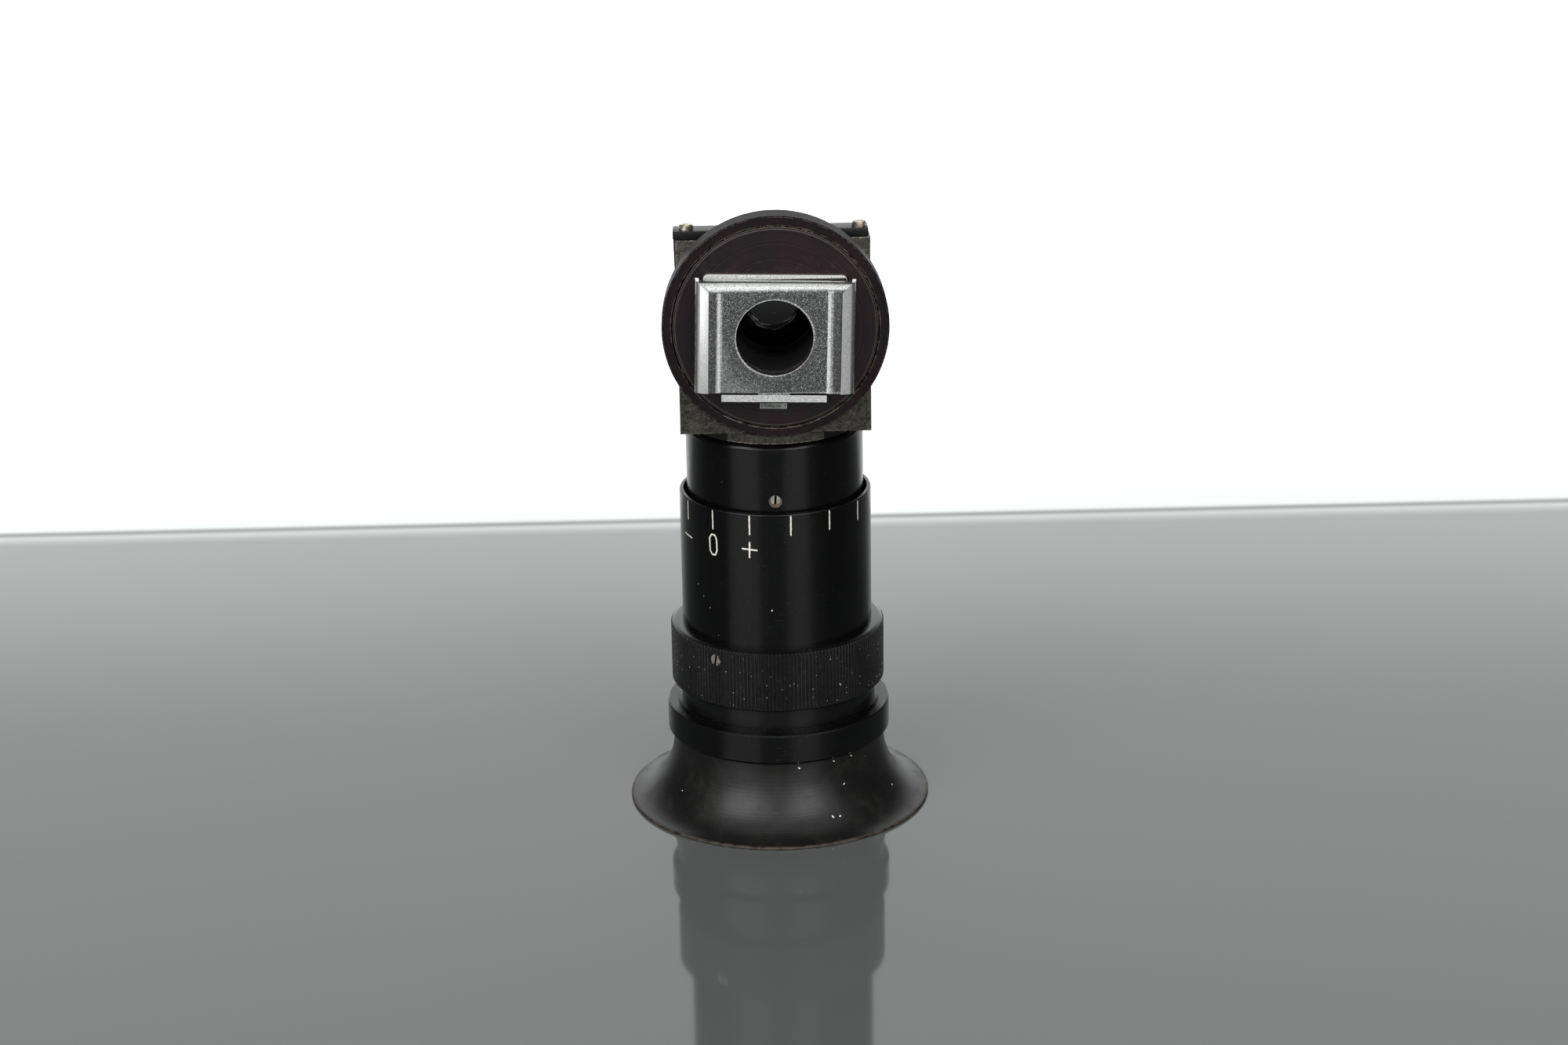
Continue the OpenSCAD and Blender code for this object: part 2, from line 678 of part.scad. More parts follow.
// One half of the shoe's cross-section in plan, from the middle to x = shoe_w / 2, seen from above
module shoe_half_section(with_rail) {
    half = shoe_w / 2;
    r = bend_r;
    r_in = bend_r - sheet;
    r_back = back_bend_r;
    bend_y = lip_drop + r - lip_front;
    bend_end = lip_splay - 90;
    // the two ends of the lip's free edge
    function edge_y(radius) =
        bend_y + radius * sin(bend_end) - (lip_w - r + radius * cos(bend_end)) * tan(lip_splay);
    rail = concat(
        [[half - sheet, -floor_front]],
        arc(half - r, bend_y, r_in, r_in, 0, bend_end, 6),
        [[half - lip_w, edge_y(r_in)], [half - lip_w, edge_y(r)]],
        arc(half - r, bend_y, r, r, bend_end, 0, 8),
        arc(half - r_back, -(floor_front - sheet) - r_back, r_back, r_back, 0, 90, 6)
    );
    edge = [[half - sheet, -floor_front], [half - sheet, -(floor_front - sheet)]];
    polygon(concat(
        [[0, -panel_front]],
        arc(panel_half + shoulder_w, shoulder_r - floor_front, shoulder_r, shoulder_r,
            -90 - shoulder_slope, -90, 6),
        with_rail ? rail : edge,
        [[panel_half + 0.8, -(floor_front - sheet)], [panel_half - 0.1, -panel_back], [0, -panel_back]]
    ));
}

// The same for what is drawn upright
module turned() {
    translate([0, 0, sight_z]) rotate([0, shoe_turn, 0]) translate([-shoe_shift, 0, -sight_z])
        children();
}

module both_halves() {
    children();
    mirror([1, 0, 0]) children();
}

// The top edge of the sheet, rolled back towards the disc between x0 and x1
module rolled_edge(x0, x1, front) {
    points = concat(
        arc(-front + panel_bend_r, panel_z1, panel_bend_r, panel_bend_r, 180, 90, 8),
        arc(-front + panel_bend_r, panel_z1, panel_bend_r - sheet, panel_bend_r - sheet, 90, 180, 8)
    );
    translate([x0, 0, 0]) rotate([90, 0, 90]) linear_extrude(x1 - x0) polygon(points);
}

module shoe_frame() {
    half = shoe_w / 2;
    steep = lip_cut / lip_w;
    color("#c6c7c8") turned() difference() {
        union() {
            both_halves() {
                translate([0, 0, panel_z0]) linear_extrude(panel_z1 - panel_z0) shoe_half_section(false);
                translate([0, 0, rail_z0]) linear_extrude(panel_z1 - rail_z0) shoe_half_section(true);
                translate([0, 0, panel_z1]) linear_extrude(rail_z1 - panel_z1) intersection() {
                    shoe_half_section(true);
                    translate([half - lip_w, -lip_front - 1])
                        square([lip_w, lip_front + 1 - floor_front]);
                }
                rolled_edge(0, panel_half, panel_front);
                for (i = [0 : roll_steps - 1]) let (step_w = shoulder_w / roll_steps)
                    rolled_edge(panel_half + i * step_w, panel_half + (i + 1) * step_w,
                                shoulder_front((i + 0.5) * step_w));
                rolled_edge(panel_half + shoulder_w, half, floor_front);
            }
            // tongue and stop bar
            translate([-tongue_half, -panel_front, tongue_z0])
                cube([2 * tongue_half, sheet, panel_z0 - tongue_z0 + eps]);
            translate([0, -panel_front, stop_top]) rotate([-stop_tilt, 0, 0])
                translate([-stop_half, 0, -stop_h]) cube([2 * stop_half, sheet, stop_h]);
        }
        forward() translate([0, hole_z - sight_z, 0]) cylinder(r = hole_r, h = 60);
        // the lips' upper ends slant down towards the middle
        both_halves() translate([half - lip_w, -floor_front - 0.2, rail_z1 - lip_cut]) rotate([90, 0, 0])
            linear_extrude(5) polygon([
                [-1, -steep], [lip_w + 0.1, lip_cut + 0.1 * steep], [lip_w + 0.1, lip_cut + 2],
                [-1, lip_cut + 2]
            ]);
    }
}

eyecup();
eyecup_ring();
ocular_barrel();
eye_lens();
eye_lens_ring();
lens_spacer();
field_lens();
field_lens_ring();
field_stop();
knurled_ring();
dioptre_sleeve();
sleeve_bush();
ring_set_screws();
fixed_tube();
sleeve_retainer();
guide_screw();
tube_lock_ring();
prism_housing();
prism_cradle();
prism();
prism_pads();
cover_plate();
cover_screws();
flange_cup();
flange_screws();
objective_lens();
objective_ring();
swivel_washer();
swivel_disc();
hub_ring();
base_plate();
base_screws();
shoe_spacer();
shoe_frame();
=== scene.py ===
import math
import random

import bmesh
import bpy
from mathutils import Matrix, Vector


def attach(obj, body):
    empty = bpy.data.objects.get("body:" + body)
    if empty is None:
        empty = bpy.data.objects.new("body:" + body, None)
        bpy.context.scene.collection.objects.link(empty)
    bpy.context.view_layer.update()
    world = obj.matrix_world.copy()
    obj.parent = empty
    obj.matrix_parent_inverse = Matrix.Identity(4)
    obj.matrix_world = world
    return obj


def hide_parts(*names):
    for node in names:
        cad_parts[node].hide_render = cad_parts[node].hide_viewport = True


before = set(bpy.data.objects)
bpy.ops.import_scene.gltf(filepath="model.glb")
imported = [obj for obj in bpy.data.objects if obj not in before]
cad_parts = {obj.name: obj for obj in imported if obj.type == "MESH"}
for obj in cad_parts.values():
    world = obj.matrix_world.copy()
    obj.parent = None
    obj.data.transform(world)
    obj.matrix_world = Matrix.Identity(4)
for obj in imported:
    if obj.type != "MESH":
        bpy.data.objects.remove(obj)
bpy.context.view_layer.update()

# Lengths are in millimetres, apart from those of the softboxes. MM turns millimetres into metres.
MM = 0.001
SIGHT_Z = 89.0

# ---- camera ----
CAMERA_DISTANCE = 463.99
CAMERA_HEIGHT = 204.93
CAMERA_SIDE = math.radians(1.1)
CAMERA_PITCH = math.radians(18.637)
CAMERA_PAN = math.radians(0.173)
CAMERA_ROLL = math.radians(-0.8857)
CAMERA_LENS = 67.0

# ---- studio ----
WALL_BEHIND = 1.3
FRONT_LIGHT = 0.75
ROOM_LIGHT = 0.05
PLATE_EDGE_Y = 146.0

# ---- eyecup and eyepiece tube ----
EYECUP_R = 25.6
SLEEVE_R = 15.96
GUIDE_X = -0.26
GUIDE_Z = 57.0
GUIDE_HOLE_R = 1.0
GUIDE_SLOT_TOP = 13.86

# ---- knurled ring ----
KNURL_TEETH = 176
KNURL_DEPTH = 0.22
KNURL_R = 18.0
KNURL_Z0 = 21.4
KNURL_Z1 = 31.9
KNURL_STEP_Z = 28.45
KNURL_BORE = 16.45
KNURL_SEAT = 15.97
KNURL_CHAMFER = 0.4
KNURL_BEVEL_W = 0.7
KNURL_BEVEL_H = 0.45
SET_SCREW_ANGLES = (-37, 83, 203)
SET_SCREW_Z = 29.45
SET_SCREW_R = 1.18
SET_SLOT_TOP = 17.5

# ---- dioptre scale ----
SCALE_STEP = 24.5
SCALE_ZERO = -41.2
SCALE_MARKS = range(-4, 5)
MARK_TOP = 54.9
MARK_BOTTOM = 51.5

# ---- prism housing, flange and swivelling disc ----
HOUSING_BORE_R = 10.5
CAVITY_HALF = 12.6
CAVITY_FRONT = -11.6
CAVITY_BACK = 13.4
FACE_Y = -25.9
FLANGE_R = 17.7
FLANGE_IN = 16.2
DISC_R = 15.95
DISC_BORE_R = 7.2

# ---- camera shoe and the base plate behind it ----
SHOE_TURN = math.radians(1.6)
SHOE_SHIFT = 0.2
LIP_Y = -30.2
PANEL_HALF = 8.1
PANEL_Z0 = 79.35
PANEL_Z1 = 95.4
HOLE_Z = 88.15
HOLE_R = 6.0
BASE_STRIP_Z = 96.9
BASE_TAB_Z = 78.5


# ================= materials =================

class Look:
    """A material being built. Its coordinates are millimetres in the row's frame."""

    def __init__(self, name, color, rough, metallic=0.0, specular=0.5):
        self.material = bpy.data.materials.new(name)
        self.material.use_nodes = True
        self.tree = self.material.node_tree
        self.shader = self.tree.nodes["Principled BSDF"]
        self.shader.inputs["Base Color"].default_value = (*color, 1)
        self.shader.inputs["Roughness"].default_value = rough
        self.shader.inputs["Metallic"].default_value = metallic
        self.shader.inputs["Specular IOR Level"].default_value = specular
        self.color = (*color, 1)
        self.rough = rough
        self.metallic = metallic
        texture = self.tree.nodes.new("ShaderNodeTexCoord")
        scaled = self.tree.nodes.new("ShaderNodeVectorMath")
        scaled.operation = "SCALE"
        scaled.inputs["Scale"].default_value = 1 / MM
        self.tree.links.new(texture.outputs["Object"], scaled.inputs[0])
        self.place = scaled.outputs[0]
        split = self.tree.nodes.new("ShaderNodeSeparateXYZ")
        self.tree.links.new(self.place, split.inputs[0])
        self.x, self.y, self.z = split.outputs

    def node(self, kind, output, settings=None, **inputs):
        node = self.tree.nodes.new(kind)
        for key, value in (settings or {}).items():
            setattr(node, key, value)
        for key, value in inputs.items():
            self.put(node.inputs[key.replace("_", " ")], value)
        return node.outputs[output]

    def put(self, socket, value):
        if isinstance(value, bpy.types.NodeSocket):
            self.tree.links.new(value, socket)
        else:
            socket.default_value = value

    def math(self, operation, a, b=0.0, c=0.0):
        node = self.tree.nodes.new("ShaderNodeMath")
        node.operation = operation
        for socket, value in zip(node.inputs, (a, b, c)):
            self.put(socket, value)
        return node.outputs[0]

    def step(self, value, low, high):
        """0 below low and 1 above high, or the other way round where low is the larger."""
        return self.node(
            "ShaderNodeMapRange", "Result", {"interpolation_type": "SMOOTHSTEP"},
            Value=value, From_Min=low, From_Max=high,
        )

    def band(self, value, low, high, soft):
        inside = self.step(value, low - soft, low + soft)
        return self.math("MULTIPLY", inside, self.step(value, high + soft, high - soft))

    def stretched(self, scale, turn):
        mapped = self.tree.nodes.new("ShaderNodeMapping")
        self.tree.links.new(self.place, mapped.inputs["Vector"])
        mapped.inputs["Rotation"].default_value = turn
        mapped.inputs["Scale"].default_value = scale
        return mapped.outputs[0]

    def noise(self, scale, detail=2.0, rough=0.5, vector=None):
        return self.node(
            "ShaderNodeTexNoise", "Fac", Vector=vector or self.place, Scale=scale,
            Detail=detail, Roughness=rough,
        )

    def line_noise(self, value, scale, detail=2.0):
        """Noise that depends on one number only, such as a radius or a height."""
        return self.node(
            "ShaderNodeTexNoise", "Fac", {"noise_dimensions": "1D"},
            W=value, Scale=scale, Detail=detail,
        )

    def cells(self, scale, feature="F1", output="Distance", vector=None):
        return self.node(
            "ShaderNodeTexVoronoi", output, {"feature": feature},
            Vector=vector or self.place, Scale=scale,
        )

    def length(self, a, b):
        squares = self.math("ADD", self.math("MULTIPLY", a, a), self.math("MULTIPLY", b, b))
        return self.math("SQRT", squares)

    def radius(self, along_sight=False):
        """Distance from the tube's axis, or from the line of sight."""
        if along_sight:
            return self.length(self.x, self.math("SUBTRACT", self.z, SIGHT_Z))
        return self.length(self.x, self.y)

    def edges(self, radius, gain=6.0):
        """1 on sharp edges and 0 on flat faces."""
        rounded = self.node("ShaderNodeBevel", "Normal", {"samples": 4}, Radius=radius * MM)
        flat = self.node("ShaderNodeNewGeometry", "Normal")
        dot = self.tree.nodes.new("ShaderNodeVectorMath")
        dot.operation = "DOT_PRODUCT"
        self.tree.links.new(rounded, dot.inputs[0])
        self.tree.links.new(flat, dot.inputs[1])
        amount = self.math("MULTIPLY", self.math("SUBTRACT", 1.0, dot.outputs["Value"]), gain)
        return self.math("MINIMUM", amount, 1.0)

    def both(self, *masks):
        result = masks[0]
        for mask in masks[1:]:
            result = self.math("MULTIPLY", result, mask)
        return result

    def tint(self, mask, color):
        """Paints a colour over what is there, where the mask is 1."""
        self.color = self.mix(mask, self.color, (*color, 1))

    def mix(self, factor, a, b):
        node = self.tree.nodes.new("ShaderNodeMix")
        node.data_type = "RGBA"
        self.put(node.inputs["Factor"], factor)
        self.put(node.inputs[6], a)
        self.put(node.inputs[7], b)
        return node.outputs[2]

    def shade(self, factor, low, high):
        """Multiplies the colour by low where factor is 0, up to high where it is 1."""
        linked = isinstance(self.color, bpy.types.NodeSocket)
        node = self.tree.nodes.new("ShaderNodeVectorMath")
        node.operation = "SCALE"
        self.put(node.inputs[0], self.color if linked else self.color[:3])
        self.put(node.inputs["Scale"], self.math("MULTIPLY_ADD", factor, high - low, low))
        self.color = node.outputs[0]

    def roughen(self, mask, value):
        """Moves the roughness to a value where the mask is 1."""
        self.rough = self.blend(mask, self.rough, value)

    def metal(self, mask, value):
        self.metallic = self.blend(mask, self.metallic, value)

    def blend(self, mask, a, b):
        node = self.tree.nodes.new("ShaderNodeMix")
        node.data_type = "FLOAT"
        self.put(node.inputs["Factor"], mask)
        self.put(node.inputs[2], a)
        self.put(node.inputs[3], b)
        return node.outputs[0]

    def bump(self, height, depth, strength=1.0):
        node = self.tree.nodes.new("ShaderNodeBump")
        node.inputs["Strength"].default_value = strength
        node.inputs["Distance"].default_value = depth * MM
        self.put(node.inputs["Height"], height)
        normal = self.shader.inputs["Normal"]
        if normal.links:
            self.tree.links.new(normal.links[0].from_socket, node.inputs["Normal"])
        self.tree.links.new(node.outputs[0], normal)

    def done(self):
        self.put(self.shader.inputs["Base Color"], self.color)
        self.put(self.shader.inputs["Roughness"], self.rough)
        self.put(self.shader.inputs["Metallic"], self.metallic)
        return self.material

    # ---- wear and dirt that several materials share ----

    def specks(self, scale, size, share, color, seed=0.0):
        """Sparse grains of dust: a share of the cells hold one."""
        vector = self.shifted(seed)
        near = self.cells(scale, vector=vector)
        chance = self.cells(scale, output="Color", vector=vector)
        picked = self.step(self.channel(chance), 1 - share - 0.01, 1 - share + 0.01)
        mask = self.both(self.step(near, size * scale, 0.5 * size * scale), picked)
        self.tint(mask, color)
        self.roughen(mask, 0.8)
        self.metal(mask, 0.0)

    def shifted(self, seed):
        node = self.tree.nodes.new("ShaderNodeVectorMath")
        node.operation = "ADD"
        self.tree.links.new(self.place, node.inputs[0])
        node.inputs[1].default_value = (seed, 1.7 * seed, -2.3 * seed)
        return node.outputs[0]

    def channel(self, color):
        return self.node("ShaderNodeSeparateColor", "Red", Color=color)

    def worn_edges(self, radius, color, amount, scale=2.5, metallic=1.0, rough=0.35):
        """Bare metal that shows in patches along the edges. A larger amount bares more."""
        patchy = self.step(self.noise(scale, 3.0, 0.6), 0.62 - amount, 0.72 - amount)
        mask = self.both(self.edges(radius), patchy)
        self.tint(mask, color)
        self.roughen(mask, rough)
        self.metal(mask, metallic)

    def scratches(self, turn, scale, color, low, strength):
        """Fine straight scratches in one direction."""
        lines = self.noise(1.0, 1.0, 0.5, self.stretched(scale, turn))
        self.tint(self.math("MULTIPLY", self.step(lines, low, low + 0.05), strength), color)


def black_metal(name, rough=0.3, tone=0.005, worn=0.12, dust=0.02, specular=0.25):
    """Satin black anodised aluminium, turned in a lathe round the tube's axis."""
    look = Look(name, (tone, tone, tone * 1.05), rough, specular=specular)
    look.shade(look.noise(0.18, 3.0), 0.7, 1.35)
    cloudy = look.noise(0.5, 4.0, 0.6)
    look.roughen(look.step(cloudy, 0.35, 0.75), rough + 0.06)
    turned = look.line_noise(look.z, 9.0, 3.0)
    look.bump(turned, 0.004, 0.6)
    look.bump(look.noise(14.0, 2.0), 0.002, 0.5)
    look.scratches((0.3, 0.9, 0.2), (0.25, 9.0, 9.0), (0.05, 0.05, 0.05), 0.72, strength=0.6)
    look.worn_edges(0.05, (0.3, 0.28, 0.26), amount=worn)
    look.specks(0.9, 0.07, dust, (0.42, 0.39, 0.33))
    return look


def tube_look():
    look = black_metal("tube_metal", rough=0.19, tone=0.0025, worn=0.12, dust=0.012)
    from_hole = look.length(
        look.math("SUBTRACT", look.x, GUIDE_X), look.math("SUBTRACT", look.z, GUIDE_Z),
    )
    hole = look.step(from_hole, GUIDE_HOLE_R + 0.06, GUIDE_HOLE_R + 0.03)
    bare = look.both(hole, look.step(look.y, -12, -13))
    look.tint(bare, (0.2, 0.17, 0.13))
    look.metal(bare, 0.4)
    look.roughen(bare, 0.35)
    return look.done()


def eyecup_look():
    look = Look("eyecup_rubber", (0.006, 0.0058, 0.0057), rough=0.34, specular=0.38)
    look.shade(look.noise(0.12, 4.0, 0.6), 0.75, 1.5)
    smudge = look.step(look.noise(0.22, 5.0, 0.65), 0.45, 0.7)
    look.roughen(smudge, 0.46)
    look.tint(look.math("MULTIPLY", smudge, 0.3), (0.024, 0.021, 0.018))
    around = look.line_noise(look.z, 5.0, 2.0)
    look.bump(around, 0.01, 0.35)
    look.bump(look.noise(6.0, 3.0), 0.006, 0.6)
    outer = look.step(look.radius(), EYECUP_R - 0.7, EYECUP_R - 0.1)
    rim = look.both(outer, look.step(look.noise(0.8, 3.0), 0.3, 0.6))
    look.tint(look.math("MULTIPLY", rim, 0.55), (0.1, 0.075, 0.06))
    look.roughen(rim, 0.6)
    look.scratches((0.6, 0.2, 0.4), (0.2, 6.0, 6.0), (0.06, 0.055, 0.05), 0.73, strength=0.5)
    look.specks(0.7, 0.08, 0.03, (0.3, 0.27, 0.22))
    look.specks(1.6, 0.035, 0.05, (0.2, 0.17, 0.13), seed=5.3)
    return look.done()


def knurl_look():
    look = black_metal("knurled_metal", rough=0.22, tone=0.003, worn=0.06, dust=0.02, specular=0.42)
    radius = look.radius()
    groove = look.both(
        look.step(radius, KNURL_R - 0.06, KNURL_R - KNURL_DEPTH + 0.02),
        look.band(look.z, KNURL_Z0 + 0.3, KNURL_Z1 - 0.4, 0.1),
    )
    grime = look.step(look.noise(0.35, 4.0, 0.6), 0.48, 0.68)
    # Painted shade: the grooves between the teeth are painted darker, and the brown grime after it is dust
    # in them.
    look.tint(groove, (0.0015, 0.0015, 0.0015))
    look.tint(look.math("MULTIPLY", look.both(groove, grime), 0.3), (0.02, 0.017, 0.014))
    look.roughen(groove, 0.9)
    look.specks(2.2, 0.06, 0.06, (0.34, 0.27, 0.19), seed=2.0)
    look.specks(3.5, 0.035, 0.1, (0.3, 0.28, 0.25), seed=9.0)
    return look.done()


def hammered_look():
    """Grey-brown hammertone lacquer: pale domes with dark crackle between them."""
    look = Look("hammered_lacquer", (0.078, 0.072, 0.062), rough=0.42, metallic=0.5, specular=0.35)
    bent = look.noise(1.6, 2.0, 0.5)
    warped = look.tree.nodes.new("ShaderNodeVectorMath")
    warped.operation = "ADD"
    look.tree.links.new(look.place, warped.inputs[0])
    look.tree.links.new(bent, warped.inputs[1])
    edge = look.cells(1.6, "DISTANCE_TO_EDGE", vector=warped.outputs[0])
    tone = look.channel(look.cells(1.6, output="Color", vector=warped.outputs[0]))
    look.shade(tone, 0.7, 1.5)
    look.shade(look.noise(5.0, 3.0, 0.6), 0.55, 1.45)
    veins = look.step(edge, 0.13, 0.01)
    patch = look.step(look.noise(0.7, 2.0), 0.38, 0.58)
    look.tint(look.math("MULTIPLY", look.both(veins, patch), 0.85), (0.018, 0.016, 0.014))
    look.roughen(look.noise(4.0, 3.0), 0.6)
    look.bump(look.step(edge, 0.0, 0.35), 0.025, 0.8)
    look.bump(look.noise(3.0, 3.0, 0.6), 0.015, 0.7)
    look.worn_edges(0.3, (0.5, 0.46, 0.4), amount=0.2, scale=1.8, metallic=0.9, rough=0.4)
    look.specks(1.1, 0.07, 0.08, (0.36, 0.32, 0.26))
    bore = look.step(look.radius(True), HOUSING_BORE_R, HOUSING_BORE_R - 0.05)
    cavity = look.both(
        look.step(look.math("ABSOLUTE", look.x), CAVITY_HALF, CAVITY_HALF - 0.05),
        look.band(look.y, CAVITY_FRONT, CAVITY_BACK, 0.02),
    )
    inside = look.math("MAXIMUM", bore, cavity)
    look.tint(inside, (0.003, 0.003, 0.003))
    look.metal(inside, 0.0)
    look.roughen(inside, 0.6)
    return look.done()


def cover_look():
    look = Look("cover_enamel", (0.01, 0.01, 0.01), rough=0.3, specular=0.12)
    look.shade(look.noise(0.3, 3.0), 0.7, 1.4)
    look.bump(look.noise(2.2, 3.0, 0.55), 0.02, 0.5)
    look.bump(look.noise(12.0, 2.0), 0.003, 0.6)
    look.scratches((0.1, 0.2, 0.5), (0.3, 10.0, 10.0), (0.1, 0.1, 0.1), 0.72, strength=0.5)
    look.worn_edges(0.06, (0.3, 0.29, 0.27), amount=0.03, scale=1.2)
    look.specks(1.0, 0.07, 0.06, (0.4, 0.36, 0.3))
    return look.done()


def purple_metal(name, tone=1.0, worn=0.15):
    """Black anodising that has faded towards purple-brown, turned round the line of sight."""
    look = Look(name, (0.009 * tone, 0.0068 * tone, 0.0075 * tone), rough=0.24, specular=0.3)
    look.tint(look.step(look.noise(0.12, 3.0), 0.4, 0.62), (0.015 * tone, 0.0075 * tone, 0.0095 * tone))
    look.shade(look.noise(0.35, 4.0), 0.75, 1.3)
    rings = look.line_noise(look.radius(True), 3.2, 5.0)
    look.shade(rings, 0.9, 1.1)
    look.roughen(look.step(rings, 0.4, 0.65), 0.34)
    look.bump(rings, 0.006, 0.45)
    look.bump(look.noise(9.0, 2.0), 0.003, 0.5)
    look.scratches((0.0, 0.9, 0.0), (0.2, 6.0, 6.0), (0.06, 0.05, 0.045), 0.72, strength=0.4)
    look.worn_edges(0.09, (0.5, 0.46, 0.42), amount=worn, scale=1.4)
    look.specks(1.2, 0.05, 0.05, (0.36, 0.29, 0.22))
    return look


def flange_look():
    look = purple_metal("flange_metal", tone=1.0, worn=0.17)
    radius = look.radius(True)
    look.shader.inputs["Specular IOR Level"].default_value = 0.15
    inner_edge = look.both(
        look.band(radius, FLANGE_IN - 0.02, FLANGE_IN + 0.12, 0.03),
        look.step(look.y, FACE_Y + 0.4, FACE_Y + 0.2),
    )
    rub = look.step(look.noise(0.35, 3.0, 0.6), 0.42, 0.62)
    look.tint(look.math("MULTIPLY", look.both(inner_edge, rub), 0.35), (0.3, 0.27, 0.25))
    groove = look.band(radius, DISC_R - 0.05, FLANGE_IN, 0.12)
    dusty = look.step(look.noise(0.6, 4.0, 0.65), 0.42, 0.6)
    look.tint(look.math("MULTIPLY", look.both(groove, dusty), 0.6), (0.16, 0.12, 0.08))
    look.roughen(groove, 0.75)
    look.roughen(look.step(radius, FLANGE_R - 0.2, FLANGE_R - 0.08), 0.55)
    return look.done()


def disc_look():
    look = purple_metal("disc_metal", tone=1.05, worn=0.2)
    radius = look.radius(True)
    face = look.step(look.y, FACE_Y + 0.3, FACE_Y + 0.2)
    rub = look.math("MULTIPLY_ADD", look.noise(0.5, 4.0, 0.6), 0.7, 0.1)
    for line in (DISC_R - 0.31, DISC_R - 0.05):
        thin = look.band(radius, line - 0.04, line + 0.04, 0.03)
        look.tint(look.both(thin, face, rub), (0.22, 0.19, 0.18))
    dusty = look.both(
        look.step(look.noise(1.6, 5.0, 0.7), 0.56, 0.7),
        look.band(look.z, BASE_STRIP_Z + 0.1, BASE_STRIP_Z + 3.3, 0.8),
        look.step(look.noise(9.0, 2.0), 0.45, 0.6),
    )
    look.tint(look.math("MULTIPLY", dusty, 0.7), (0.13, 0.07, 0.05))
    bore = look.step(radius, DISC_BORE_R + 0.1, DISC_BORE_R - 0.1)
    look.tint(bore, (0.003, 0.0025, 0.0025))
    look.roughen(bore, 1.0)
    return look.done()


def steel_look():
    """Plated sheet steel: a fine sparkling grain, smoother on the bends and lips. Its colour is painted:
    dark on the flat panel as painted shade, whiter on the bends, lips, bar, shoulders and the hole's rim as
    painted highlights, and bright on some grains as painted glints.
    """
    # The base colour is far darker than plated steel: painted shade over the flat panel.
    look = Look("plated_steel", (0.13, 0.13, 0.134), rough=0.17, metallic=1.0)
    lips = look.step(look.y, LIP_Y, LIP_Y - 0.3)
    roll = look.step(look.z, PANEL_Z1, PANEL_Z1 + 0.7)
    bar = look.step(look.z, PANEL_Z0 + 0.15, PANEL_Z0 - 0.05)
    smooth = look.math("MAXIMUM", look.math("MAXIMUM", lips, roll), bar)
    # Painted highlights: the lips, the top roll and the bar are painted paler, and the roll paler again.
    # The same mask also thins the sparkle below.
    look.tint(smooth, (0.5, 0.5, 0.495))
    look.tint(look.both(roll, look.math("SUBTRACT", 1.0, lips)), (0.8, 0.8, 0.79))
    level = look.math("SUBTRACT", look.z, SIGHT_Z)
    across = look.math("ADD", look.math("MULTIPLY", look.x, math.cos(SHOE_TURN)), SHOE_SHIFT)
    across = look.math("SUBTRACT", across, look.math("MULTIPLY", level, math.sin(SHOE_TURN)))
    # Painted highlight: the bent shoulders beside the panel are painted near white.
    shoulder = look.band(look.math("ABSOLUTE", across), PANEL_HALF + 0.05, PANEL_HALF + 0.9, 0.06)
    below_roll = look.step(look.z, PANEL_Z1 + 0.1, PANEL_Z1 - 0.1)
    look.tint(look.math("MULTIPLY", look.both(shoulder, below_roll), 0.8), (0.9, 0.9, 0.89))
    # Painted highlight: a near-white ring on the rim of the hole.
    from_hole = look.length(across, look.math("SUBTRACT", look.z, HOLE_Z))
    look.tint(look.step(from_hole, HOLE_R + 0.24, HOLE_R + 0.14), (0.95, 0.95, 0.94))
    grain = look.noise(7.0, 2.0, 0.65)
    look.shade(look.step(grain, 0.35, 0.65), 0.75, 1.2)
    # Painted glints: a share of the grains is painted bright, and the bump below gives them their relief.
    sparkle = look.step(look.channel(look.cells(12.0, output="Color")), 0.5, 1.0)
    coarse = look.math("SUBTRACT", 1.0, look.math("MULTIPLY", smooth, 0.6))
    look.tint(look.math("MULTIPLY", look.both(sparkle, coarse), 0.7), (0.75, 0.75, 0.75))
    look.bump(look.math("MULTIPLY", sparkle, coarse), 0.016, 0.9)
    look.bump(grain, 0.002, 0.5)
    look.bump(look.noise(1.2, 2.0), 0.004, 0.3)
    look.shade(look.noise(0.4, 3.0), 0.88, 1.1)
    look.roughen(look.step(look.noise(3.0, 2.0), 0.3, 0.7), 0.22)
    look.roughen(lips, 0.34)
    stains = look.step(look.noise(1.3, 4.0, 0.7), 0.68, 0.76)
    look.tint(look.math("MULTIPLY", stains, 0.4), (0.2, 0.17, 0.13))
    # Bright edges: these are worn plating, and they are also painted far brighter than bare steel, which
    # makes them a painted highlight.
    look.worn_edges(0.07, (0.9, 0.9, 0.88), amount=0.35, scale=1.0, metallic=1.0, rough=0.3)
    return look.done()


def base_look():
    """The same steel, duller. Its upper strip and the rims of its edges are painted bright as painted
    highlights, and its tab has lighter worn patches.
    """
    look = Look("dull_steel", (0.2, 0.2, 0.2), rough=0.25, metallic=1.0)
    # Painted highlight: the upper strip is painted near white.
    upper = look.step(look.z, BASE_STRIP_Z - 0.1, BASE_STRIP_Z + 0.1)
    look.tint(upper, (0.85, 0.85, 0.83))
    grain = look.noise(5.0, 2.0, 0.65)
    look.shade(look.step(grain, 0.35, 0.65), 0.6, 1.3)
    look.bump(grain, 0.008, 0.7)
    look.roughen(upper, 0.5)
    tab = look.step(look.z, BASE_TAB_Z + 0.1, BASE_TAB_Z - 0.1)
    worn = look.step(look.noise(1.8, 3.0, 0.6), 0.35, 0.6)
    look.tint(look.both(tab, worn), (0.6, 0.6, 0.58))
    # Painted highlight: a near-white rim along the rounded edges.
    rim = look.edges(0.3, 9.0)
    look.tint(rim, (0.95, 0.95, 0.93))
    look.roughen(rim, 0.45)
    return look.done()


